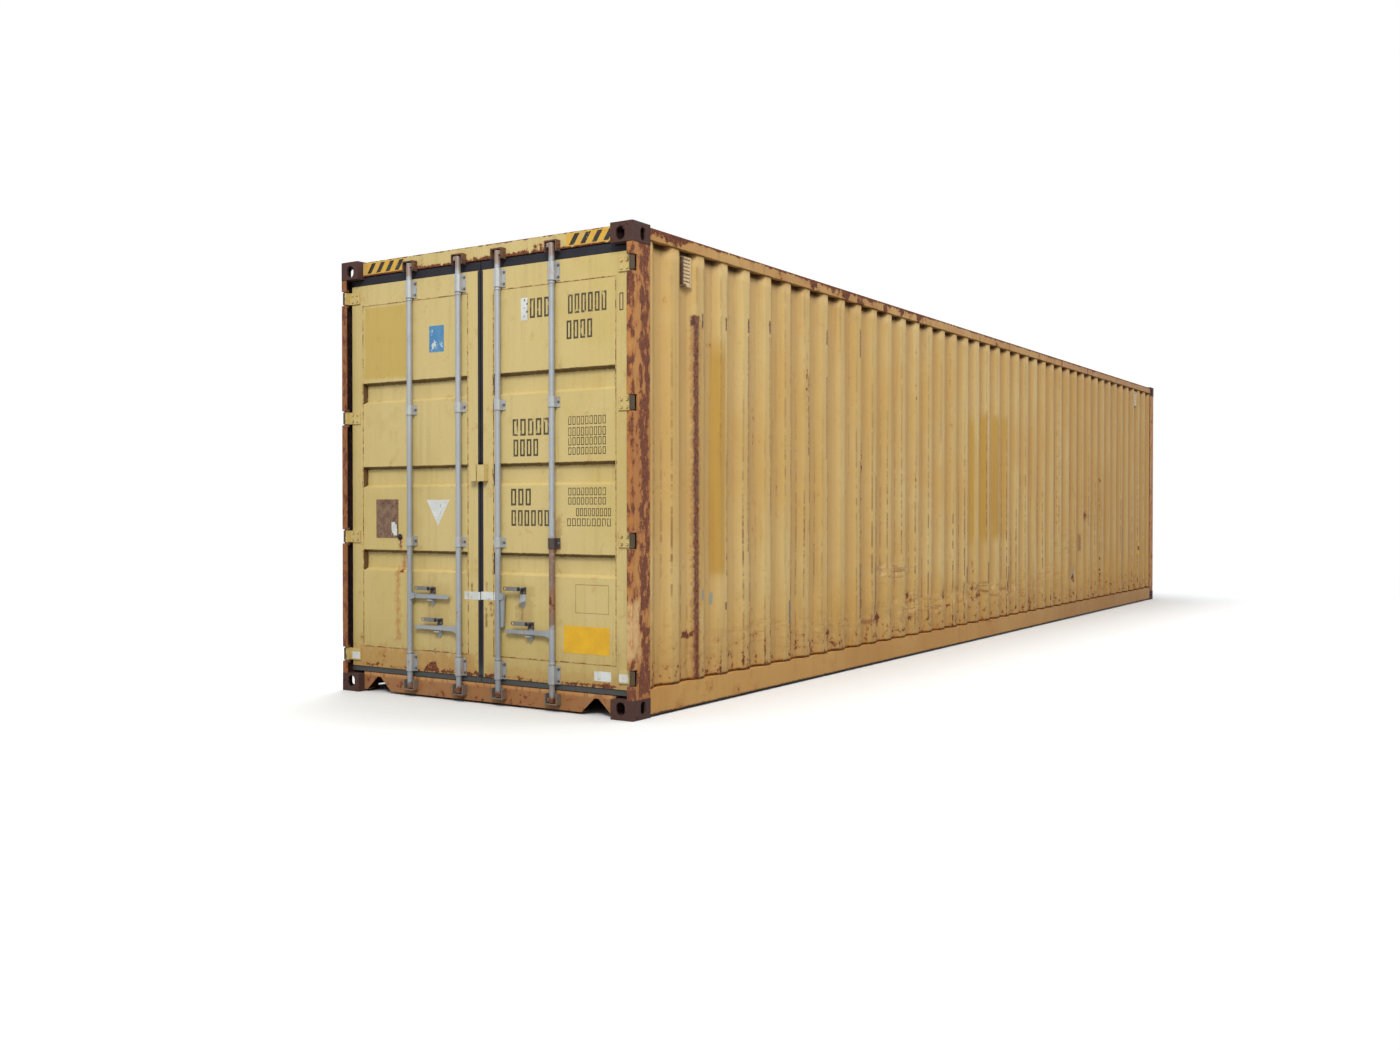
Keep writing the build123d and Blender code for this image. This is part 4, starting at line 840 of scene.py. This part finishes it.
def sideWall(name, node, side, shift):
    # sheet: the pressed line along X, straight in Z, pushed in by dents, creases and long slow waves; fields hold its
    # rust, grime and painted shade, repaint and scuffs, and side is -1 for the right wall and 1 for the left
    chance = np.random.default_rng(seedNumber + shift)
    section = wallSection()
    low = np.linspace(place["wallLow"], wall["split"], wall["lowRows"])
    heights = np.concatenate([low, np.linspace(wall["split"], place["wallHigh"], wall["highRows"])[1:]])
    rows = len(heights)
    x = np.tile(section[:, 0], (rows, 1))
    z = np.tile(heights[:, None], (1, len(section)))
    alongX = x if side < 0 else -x  # the hidden side gets the same marks turned end for end
    inward = np.tile(section[:, 1], (rows, 1))
    # it stays straight where it meets rails and posts
    hold = between(z, place["wallLow"], place["wallHigh"], wall["holdLow"], wall["holdHigh"])
    hold = hold * fadeIn(place["wallHalf"] - np.abs(x), 0, wall["holdEnds"])
    waves = 0
    for _ in range(wall["waves"]):
        along, up, shifted = [chance.uniform(*wall[key]) for key in ("waveAlong", "waveUp", "phase")]
        waves = waves + np.sin(x * along + z * up + shifted)
    waves = waves / wall["waves"]
    push = bell(alongX, z, dents) + wall["waviness"] * (waves + wall["waveIn"])
    wide, tall = wall["creaseWide"], wall["creaseTall"]
    creased = bell(alongX, z, [(a, b, c * wide, d * tall, 1) for a, b, c, d, _ in dents[: wall["creased"]]])
    bend, often = wall["creaseBend"]
    crease = wall["crease"] * np.sin(x * wall["creaseAlong"] + bend * np.sin(z * often))
    crease = crease * np.sin(z * wall["creaseUp"]) * creased
    y = side * (place["wallSkin"] - inward - hold * np.clip(push + crease, 0, None))
    rust = np.zeros_like(x)
    for atX, top, low, half, strength in wallRuns:
        sway = wall["sway"] * np.sin(z * wall["swayUp"] + atX * wall["swayAlong"])
        body = np.exp(-(((alongX - atX - sway) / (half * wall["runWide"])) ** 2))
        body = body * between(z, low, top, wall["runLow"], wall["runHigh"])
        rust = np.maximum(rust, strength * body)
    rust = np.maximum(rust, bell(alongX, z, wallBlots).clip(0, wall["mostBlot"]))
    rust += wall["lowRust"][0] * fadeIn(-z, *wall["lowRust"][1:])  # a little more below 0.75 m
    scuff = bell(alongX, z, scuffs).clip(0, 1)
    fresh = np.zeros_like(x)
    for low, high, bottom, top, strength in freshBands:
        band = between(alongX, low, high, wall["bandEnds"], wall["bandEnds"])
        band = band * between(z, bottom, top, wall["bandLow"], wall["bandHigh"])
        fresh = np.maximum(fresh, strength * band)
    # grime and painted shade: a dirt strip above the bottom rail, a dirt veil up to 0.9 m, and a strip of painted
    # shade under the top rail
    grime = sum(share * fadeIn(way * z, start, end) for share, way, start, end in wall["grime"])
    if side > 0:  # only the side in the photo has repaint
        fresh *= 0
    faces = gridFaces(rows, len(section))[:, ::-side]
    piece = finishPiece(name, (np.stack([x, y, z], axis=-1), faces), "wallCoat", "container", True)
    for label, values in zip(fieldNames, (rust, grime, fresh, scuff)):
        layer = piece.data.attributes.new(label, "FLOAT", "POINT")
        layer.data.foreach_set("value", values.ravel().astype(np.float32))
    thick = piece.modifiers.new("sheet", "SOLIDIFY")
    thick.thickness = wall["sheet"]
    thick.offset = -1
    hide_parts(node)
    return piece


rightWall = sideWall("rightWallSheet", "side_wall_right", -1, 0)
sideWall("leftWallSheet", "side_wall_left", 1, 5)
print("stage: side walls pressed,", len(rightWall.data.polygons), "faces each")

vent = {
    "centres": (-5.499, 5.217), "height": 2.688, "wide": 0.1, "tall": 0.184, "out": 0.026, "blades": 7,
    "bladeLow": 0.7, "bladeRise": 0.24, "foot": 0.001, "across": (0.05, 0.12, 0.13, 6), "up": (0.03, 0.07, 0.075, 85),
    "opening": (0.125, 0.072), "firstBlade": 0.075, "bladeSpan": 0.85,
}


def shares(first, last, inner, count):
    # shares from zero to one, the same from both ends: three across the raised rim, and even steps between
    near = np.linspace(first, last, 3)
    return np.concatenate([[0, 0], near, np.linspace(inner, 1 - inner, count), 1 - near[::-1], [1, 1]])


def ventShape(side, centre):
    # housing: a plate with a raised rim, and blades as a saw tooth in height, on the floor of a trough; u and v are
    # the shares of its width and height, close together where it bends
    u, v = shares(*vent["across"]), shares(*vent["up"])
    gridU, gridV = np.meshgrid(u, v)
    tooth = np.mod((gridV - vent["firstBlade"]) / vent["bladeSpan"] * vent["blades"], 1.0)
    edgeU, edgeV = vent["opening"]
    inside = (gridU > edgeU) & (gridU < 1 - edgeU) & (gridV > edgeV) & (gridV < 1 - edgeV)
    rise = np.where(inside, vent["out"] * (vent["bladeLow"] + vent["bladeRise"] * (1 - tooth)), vent["out"])
    rise[:, [0, -1]] = vent["foot"]
    rise[[0, -1], :] = vent["foot"]
    x = centre + (gridU - 0.5) * vent["wide"]
    y = side * (place["wallSkin"] - wall["depth"] + rise)
    z = vent["height"] + (gridV - 0.5) * vent["tall"]
    faces = gridFaces(len(v), len(u))[:, ::-side]
    ring = rimOf(len(v), len(u))
    back = ring[::side].tolist()
    return np.stack([x, y, z], axis=-1).reshape(-1, 3), [list(face) for face in faces] + [back]


ventShapes = [ventShape(side, centre) for side in (-1, 1) for centre in vent["centres"]]
vents = finishPiece("ventHousings", joined(ventShapes), "ventCoat", "container")
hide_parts("ventilators")
print("stage: ventilators louvred")

weld = {"radius": 0.0035, "ripple": 0.009, "wave": 0.14, "round": 6, "tops": (0.308, 2.597), "sides": (0.108, 1.061)}


def beadShape(start, end):
    # half round bead along a straight line on the door's face, its radius rippled along the way
    start, end = np.array(start, dtype=float), np.array(end, dtype=float)
    length = np.linalg.norm(end - start)
    steps = int(length / weld["ripple"] * 2)
    along = np.linspace(0, 1, steps)
    way = (end - start) / length
    out = np.array([-1.0, 0.0, 0.0])
    across = np.cross(way, out)
    count = weld["round"]
    angle = np.linspace(0, np.pi, count)
    radius = weld["radius"] * (1 - weld["wave"] + weld["wave"] * np.cos(np.arange(steps) * np.pi))[:, None]
    centre = start + along[:, None, None] * (end - start)
    turn = np.cos(angle)[None, :, None] * across + np.sin(angle)[None, :, None] * out
    points = centre + radius[:, :, None] * turn
    faces = [list(face) for face in gridFaces(steps, count, True)]
    last = (steps - 1) * count
    return points.reshape(-1, 3), faces + [list(range(count))[::-1], list(range(last, last + count))]


for sideName, side in bothSides:
    near, far = weld["sides"]
    low, high = weld["tops"]
    lines = [((door, side * near, z), (door, side * far, z)) for z in (low, high)]
    lines += [((door, side * y, low), (door, side * y, high)) for y in (near, far)]
    beads = joined([beadShape(*line) for line in lines])
    finishPiece(sideName + "DoorWelds", beads, "beadCoat", "door_" + sideName, True)

bolt = {
    "across": 0.0078, "head": 0.006, "washer": 0.0095, "hingeSpots": (1.108, 1.15), "hingeRise": 0.022,
    "guideReach": 0.036, "guideRises": ((-0.036, 0.036), (0.0,), (0.0,), (-0.036, 0.036)), "haspReach": 0.013,
    "haspRise": 0.03, "washerTall": (0.0015, 0.002), "washerTop": 0.92, "headFoot": 0.001, "chamfer": (0.86, 0.85),
    "sides": (12, 6),
}


def boltShape():
    # hexagon head with a chamfered top on a round washer
    r, h, w = bolt["across"], bolt["head"], bolt["washer"]
    low, high = bolt["washerTall"]
    inwards, start = bolt["chamfer"]
    washer = turnedShape([(w, 0), (w, low), (w * bolt["washerTop"], high)], bolt["sides"][0])
    head = turnedShape([(r, bolt["headFoot"]), (r, h * start), (r * inwards, h)], bolt["sides"][1])
    return joined([washer, head])


def plateSpots(side):
    # bolts of the guides and of the hasps' plates on the bars of one door
    face, spots = place["plateFace"], []
    mine = [lock for lock in place["locks"] if lock[0] * side > 0]
    for line, _, _ in mine:
        for z, rises in zip(place["guides"], bolt["guideRises"]):
            reaches = (-bolt["guideReach"], bolt["guideReach"])
            spots += [(face, line + reach, z + rise) for reach in reaches for rise in rises]
    for line, hub, toHasp in mine:
        reaches = (-bolt["haspReach"], bolt["haspReach"])
        spots += [(face, line + toHasp + reach, hub + bolt["haspRise"]) for reach in reaches]
    return spots


for sideName, side in bothSides:
    rises = (-bolt["hingeRise"], bolt["hingeRise"])
    spots = [
        (place["hingeFace"], side * y, z + rise) for z in place["hinges"] for y in bolt["hingeSpots"]
        for rise in rises
    ]
    finishPiece(sideName + "HingeBolts", repeated(boltShape(), spots), "hingeCoat", "door_" + sideName)
    bolts = repeated(boltShape(), plateSpots(side))
    finishPiece(sideName + "DoorBolts", bolts, "boltCoat", "door_" + sideName)

collar = {
    "radius": 0.0205, "bore": 0.0181, "tall": 0.012, "edge": 0.002, "edgeIn": 0.96, "sides": 24,
    "heights": (0.287, 2.59)
}
for number, (line, _, _) in enumerate(place["locks"], 1):
    r, t, b, edge = collar["radius"], collar["tall"], collar["bore"], collar["edge"]
    top = r * collar["edgeIn"]
    ring = turnedShape([(b, 0), (top, 0), (r, edge), (r, t - edge), (top, t), (b, t)], collar["sides"], "z")
    rings = repeated(ring, [(place["barDepth"], line, z) for z in collar["heights"]])
    finishPiece("barCollars" + str(number), rings, "zincCoat", "bar_" + str(number), True)
print("stage: welds, bolts and collars set")

tag = {"thin": 0.0003, "ink": 0.0004, "boxAt": (0.12, 0.84), "thick": 0.0006, "tape": 0.0009}
plate = {
    "y": (0.73, 0.935), "z": (1.04, 1.295), "thick": 0.0016, "rim": 0.008, "rimRise": 0.0007, "bulge": 0.0005,
    "rivetY": (0.742, 0.8325, 0.923), "rivetZ": (1.052, 1.283), "rivetOut": 0.0018, "grid": (28, 34),
    "waves": (41, 37), "blob": (0.714, 1.046),
}
lift = {"height": 0.0002, "across": 160, "up": 130, "grid": (24, 12), "overLip": 0.01, "slope": 0.008}
filmPieces = [  # name, body, film, y range, z range, thickness, plane of X
    ("blueTag", "door_left", "blueFilm", (0.315, 0.445), (2.246, 2.416), tag["thick"], door),
    ("smallTag", "door_left", "whiteFilm", (0.741, 0.792), (1.056, 1.144), tag["thick"], door - plate["thick"]),
    ("amberTag", "door_right", "amberFilm", (-1.013, -0.67), (0.364, 0.528), tag["thick"], door),
    ("whiteTagLow", "door_right", "whiteFilm", (-1.025, -0.9), (0.21, 0.268), tag["tape"], door),
    ("whiteTagCorner", "door_right", "whiteFilm", (-1.152, -1.088), (0.216, 0.262), tag["tape"], place["hingeFace"]),
    ("markPatch", "door_right", "whiteFilm", (-0.388, -0.334), (2.39, 2.528), tag["thin"], door),
    ("hingeTape", "door_left", "whiteFilm", (1.092, 1.166), (0.216, 0.262), tag["tape"], place["hingeFace"]),
    ("seamTapeLeft", "door_left", "whiteFilm", (0.004, 0.14), (0.656, 0.706), tag["tape"], door),
    ("seamTapeRight", "door_right", "whiteFilm", (-0.13, -0.004), (0.658, 0.709), tag["tape"], door),
]
lip = {
    "near": 0.003, "wide": 0.022, "out": 0.0028, "edge": 0.0002, "grid": (9, 60), "wave": 0.1, "waveUp": 17,
    "spans": ((0.172, 1.4), (1.514, 2.732))
}


def lipRelief(gridY, gridZ):
    # rubber lip: round across its width, with a slow wave along it
    share = (np.abs(gridY) - lip["near"]) / (lip["wide"] - lip["near"])
    return -lip["out"] * np.sqrt(np.clip(1 - (2 * share - 1) ** 2, 0, 1)) * (
        1 - lip["wave"] + lip["wave"] * np.sin(gridZ * lip["waveUp"])
    )


for sideName, side in bothSides:
    reach = sorted((side * lip["near"], side * lip["wide"]))
    lips = joined([slabShape(reach, span, door, lip["edge"], *lip["grid"], lipRelief) for span in lip["spans"]])
    finishPiece(sideName + "SeamLip", lips, "rubber", "door_" + sideName, True)


def ripple(gridY, gridZ):
    # film that has lifted a little: two crossed waves, and it rises over the rubber lip along the seam
    rise = lip["out"] * fadeIn(lip["wide"] + lift["overLip"] - np.abs(gridY), 0, lift["slope"])
    return -lift["height"] * (1 + np.sin(gridY * lift["across"]) * np.cos(gridZ * lift["up"])) - rise


for name, body, film, y, z, thick, x in filmPieces:
    finishPiece(name, slabShape(y, z, x, thick, *lift["grid"], ripple), film, body)


def prismShape(outline, thick):
    # a flat outline of Y and Z on the doors' plane, with a little thickness
    count = len(outline)
    points = [(x, *corner) for x in (door - thick, door) for corner in outline]
    faces = [list(range(count)), list(range(count, 2 * count))[::-1]]
    faces += [(k, k + count, (k + 1) % count + count, (k + 1) % count) for k in range(count)]
    return np.array(points), faces


triangle = ((0.472, 1.29), (0.37, 1.122), (0.268, 1.29))
finishPiece("whiteTriangle", prismShape(triangle, tag["thick"]), "whiteFilm", "door_left")


def plateRelief(gridY, gridZ):
    # a rolled rim and shallow bulges of a plate that was nailed on
    toSide = np.minimum(gridY - plate["y"][0], plate["y"][1] - gridY)
    toTop = np.minimum(gridZ - plate["z"][0], plate["z"][1] - gridZ)
    rim = plate["rimRise"] * (np.minimum(toSide, toTop) < plate["rim"])
    return -rim - plate["bulge"] * (1 + np.sin(gridY * plate["waves"][0]) * np.sin(gridZ * plate["waves"][1]))


plateShape = slabShape(plate["y"], plate["z"], door, plate["thick"], *plate["grid"], plateRelief)
finishPiece("dataPlate", plateShape, "plateFilm", "door_left")
rounds = {  # radius and height along each profile
    "rivet": [(0.005, 0), (0.005, 0.001), (0.0035, 0.0025), (0.0012, 0.003)],
    "blob": [(0.02, 0), (0.019, 0.004), (0.015, 0.009), (0.008, 0.012), (0.002, 0.013)],
    "pinHead": [(0.0125, 0), (0.0125, 0.001), (0.01, 0.002), (0.003, 0.0024)],
}
tarBlob = repeated(turnedShape(rounds["blob"], 16), [(door, *plate["blob"])])
finishPiece("tarBlob", tarBlob, "rubber", "door_left", True)
for number, (y, hub) in enumerate(haspSpots, 1):
    head = repeated(turnedShape(rounds["pinHead"], 16), [(place["pinFace"], y, hub + place["pinRise"])])
    finishPiece("haspPin" + str(number), head, "rubber", "hasp_" + str(number), True)
rivetSpots = [(door - plate["rivetOut"], y, z) for y in plate["rivetY"] for z in plate["rivetZ"]]
rivets = repeated(turnedShape(rounds["rivet"], 10), rivetSpots)
finishPiece("plateRivets", rivets, "pinSteel", "door_left", True)

stripes = {
    "low": 2.812, "high": 2.878, "lean": 0.045, "wide": 0.038, "step": 0.086, "count": 4, "thick": 0.0007,
    "starts": (0.676, -1.052), "ground": ((0.665, 1.045), (-1.053, -0.69)), "groundRim": 0.006,
}


def stripeShape(y):
    # one leaning bar: a parallelogram from y, whose top stands to the side by the lean
    low, high, wide, lean = [stripes[key] for key in ("low", "high", "wide", "lean")]
    return prismShape([(y + wide + lean, low), (y + lean, low), (y, high), (y + wide, high)], stripes["thick"])


groundSpan = (stripes["low"] - stripes["groundRim"], stripes["high"] + stripes["groundRim"])
ground = joined([slabShape(span, groundSpan, door, tag["thin"]) for span in stripes["ground"]])
finishPiece("stripeGround", ground, "amberWorn", "container")
stripeSpots = [start + number * stripes["step"] for start in stripes["starts"] for number in range(stripes["count"])]
finishPiece("headerStripes", joined([stripeShape(y) for y in stripeSpots]), "blackFilm", "container")

markRows = [  # y from, y to, z low, z high, boxes in a row, stroke: plain hollow boxes where the real one has writing
    (-0.567, -0.34, 2.4, 2.52, 4, 0.013), (-0.999, -0.696, 2.402, 2.518, 6, 0.012),
    (-1.121, -1.081, 2.39, 2.494, 1, 0.007), (-0.893, -0.685, 2.25, 2.362, 4, 0.012),
    (-0.565, -0.256, 1.682, 1.786, 5, 0.013), (-0.477, -0.264, 1.555, 1.66, 4, 0.012),
    (-0.419, -0.242, 1.252, 1.356, 3, 0.013), (-0.564, -0.246, 1.126, 1.224, 6, 0.012),
    (-0.991, -0.7, 1.735, 1.786, 9, 0.005), (-0.991, -0.7, 1.668, 1.72, 9, 0.005),
    (-0.991, -0.7, 1.612, 1.66, 9, 0.005), (-0.991, -0.7, 1.556, 1.6, 9, 0.005),
    (-0.991, -0.7, 1.312, 1.358, 9, 0.005), (-0.991, -0.7, 1.257, 1.3, 9, 0.005),
    (-1.028, -0.76, 1.188, 1.235, 9, 0.005), (-1.028, -0.691, 1.128, 1.174, 9, 0.005),
]


def boxShape(y, z, stroke):
    # four thin bars round an upright rectangle, as one frame: an outer and an inner outline joined by faces
    outer = np.array([(y[0], z[0]), (y[0], z[1]), (y[1], z[1]), (y[1], z[0])])
    middle = outer.mean(axis=0)
    inner = middle + np.sign(outer - middle) * (np.abs(outer - middle) - stroke)
    points = [(x, *corner) for x in (door - tag["ink"], door) for corner in np.concatenate([outer, inner])]
    faces = []
    for k in range(4):
        n = (k + 1) % 4
        faces += [
            (k, k + 4, n + 4, n), (k + 8, n + 8, n + 12, k + 12), (k, n, n + 8, k + 8), (k + 4, k + 12, n + 12, n + 4)
        ]
    return np.array(points), faces


farTag = {
    "x": (5.324, 5.392), "z": (0.63, 0.8), "band": (0.69, 0.745), "sunk": 0.005, "out": 0.0004, "bandOut": 0.0008,
}
for label, span, out, film in (("farTag", "z", "out", "amberFilm"), ("farTagBand", "band", "bandOut", "blackFilm")):
    # a slab for the doors' plane, turned a quarter about Z onto the long wall
    turned = (-farTag["x"][1], -farTag["x"][0])
    points, faces = slabShape(turned, farTag[span], farTag["sunk"] - place["wallSkin"], farTag["sunk"] + farTag[out])
    points = np.stack([-points[:, 1], points[:, 0], points[:, 2]], axis=-1)
    finishPiece(label, (points, faces), film, "container")

ghost = {"y": (-1.01, -0.758), "z": (0.606, 0.78), "stroke": 0.005}  # rim of a sheet that was peeled off
ghostShape = boxShape(ghost["y"], ghost["z"], ghost["stroke"])
finishPiece("peeledRim", ghostShape, "ghostFilm", "door_right")


def markShapes(rows):
    # each row's length shared among its boxes, with a gap on both sides of each
    shapes, (start, end) = [], tag["boxAt"]
    for low, high, bottom, top, count, stroke in rows:
        pitch = (high - low) / count
        spans = [(low + (k + start) * pitch, low + (k + end) * pitch) for k in range(count)]
        shapes += [boxShape(span, (bottom, top), stroke) for span in spans]
    return shapes


finishPiece("rightDoorMarks", joined(markShapes(markRows)), "stencilFilm", "door_right")
print("stage: films and plates laid")

studio = {
    "floor": 60.0, "floorZ": -0.0005, "floorGrey": 0.3, "floorPale": (0.8, 0.84), "floorNoise": 0.4,
    "floorRough": 0.9, "floorGloss": 0.1, "fade": (0.3, 5.5), "sky": (-0.1, 0.9, 0.28, 0.95),
    "skyTint": (0.93, 0.97, 1.0, 1.0),
}
white = (1.0, 1.0, 1.0, 1.0)


def grey(value):
    # a linear grey
    return (value, value, value, 1.0)


reach, floorZ = studio["floor"], studio["floorZ"]
floorCorners = [(-reach, -reach, floorZ), (reach, -reach, floorZ), (reach, reach, floorZ), (-reach, reach, floorZ)]
floorMesh = bpy.data.meshes.new("studioFloor")
floorMesh.from_pydata(floorCorners, [], [(0, 1, 2, 3)])
floorObject = bpy.data.objects.new("studioFloor", floorMesh)
bpy.context.scene.collection.objects.link(floorObject)
floorMaterial, floorDesk, floorWhere = startCoat("studioFloor")
seenDirectly = floorDesk.add("LightPath").outputs["Is Camera Ray"]
pale = floorDesk.mix(
    floorDesk.noise(floorWhere, studio["floorNoise"], 2.0), *[grey(value) for value in studio["floorPale"]]
)
floorColor = floorDesk.mix(seenDirectly, grey(studio["floorGrey"]), pale)
floorShader = floorDesk.add(
    "BsdfPrincipled", Base_Color=floorColor, Roughness=studio["floorRough"], Specular_IOR_Level=studio["floorGloss"]
)
# far from the container the floor runs into the white background, for the camera only
beyond = floorDesk.vector("SUBTRACT", floorDesk.vector("ABSOLUTE", floorWhere), (place["endX"], place["sideY"], 0.0))
outside = floorDesk.vector("MAXIMUM", beyond, origin)
away = floorDesk.add("VectorMath", {"operation": "LENGTH"}, (outside,)).outputs["Value"]
fade = floorDesk.times(floorDesk.step(away, *studio["fade"]), seenDirectly)
whiteOut = floorDesk.add("Emission", None, (white, 1.0))
blend = floorDesk.add("MixShader", None, (fade, floorShader.outputs[0], whiteOut.outputs[0]))
floorDesk.add("OutputMaterial", None, (blend.outputs[0],))
floorMesh.materials.append(floorMaterial)

world = bpy.data.worlds.new("studioWorld")
bpy.context.scene.world = world
world.use_nodes = True
worldDesk = Desk(world.node_tree)
world.node_tree.nodes.clear()
lightPath = worldDesk.add("LightPath").outputs
seen = worldDesk.sum("MAXIMUM", lightPath["Is Camera Ray"], lightPath["Is Glossy Ray"])
seen = worldDesk.sum("MAXIMUM", seen, lightPath["Is Transmission Ray"])
rise = worldDesk.axis(worldDesk.add("TexCoord").outputs["Generated"], 2)
soft = worldDesk.step(rise, *studio["sky"])
skyColor = worldDesk.mix(seen, studio["skyTint"], white)
background = worldDesk.add("Background", None, (skyColor, worldDesk.span(seen, 0.0, 1.0, soft, 1.0)))
worldDesk.add("OutputWorld", None, (background.outputs[0],))

lamps = {  # place, target, width, power, colour
    "keyLamp": ((-15.5, -6.5, 11.0), (-4.0, -0.5, 1.2), 5.0, 1420.0, (1.0, 0.98, 0.94)),
    "fillLamp": ((3.0, -11.0, 13.0), (2.0, -1.0, 1.2), 8.0, 500.0, (1.0, 0.99, 0.97)),
    "topLamp": ((1.0, 3.0, 14.0), (0.0, 0.0, 2.8), 10.0, 1500.0, (0.97, 0.98, 1.0)),
}
for name, (spot, target, width, power, color) in lamps.items():
    lamp = bpy.data.lights.new(name, "AREA")
    lamp.shape = "DISK"
    lamp.size = width
    lamp.energy = power
    lamp.color = color
    lampObject = bpy.data.objects.new(name, lamp)
    lampObject.location = spot
    lampObject.rotation_euler = (Vector(target) - Vector(spot)).to_track_quat("-Z", "Y").to_euler()
    bpy.context.scene.collection.objects.link(lampObject)

shot = {
    "spot": (-12.0962, -5.5576, 1.2248), "heading": 32.871, "tilt": -0.674, "lens": 32.98, "sensor": 36.0,
    "clip": 400,
}
cameraData = bpy.data.cameras.new("photoCamera")
cameraData.lens = shot["lens"]
cameraData.sensor_width = shot["sensor"]
cameraData.clip_end = shot["clip"]
camera = bpy.data.objects.new("photoCamera", cameraData)
heading, tilt = math.radians(shot["heading"]), math.radians(shot["tilt"])
look = Vector((math.cos(heading) * math.cos(tilt), math.sin(heading) * math.cos(tilt), math.sin(tilt)))
camera.location = shot["spot"]
camera.rotation_mode = "QUATERNION"
camera.rotation_quaternion = look.to_track_quat("-Z", "Y")
bpy.context.scene.collection.objects.link(camera)
bpy.context.scene.camera = camera
bpy.context.scene.view_settings.view_transform = "Standard"
print("stage: light and camera placed")
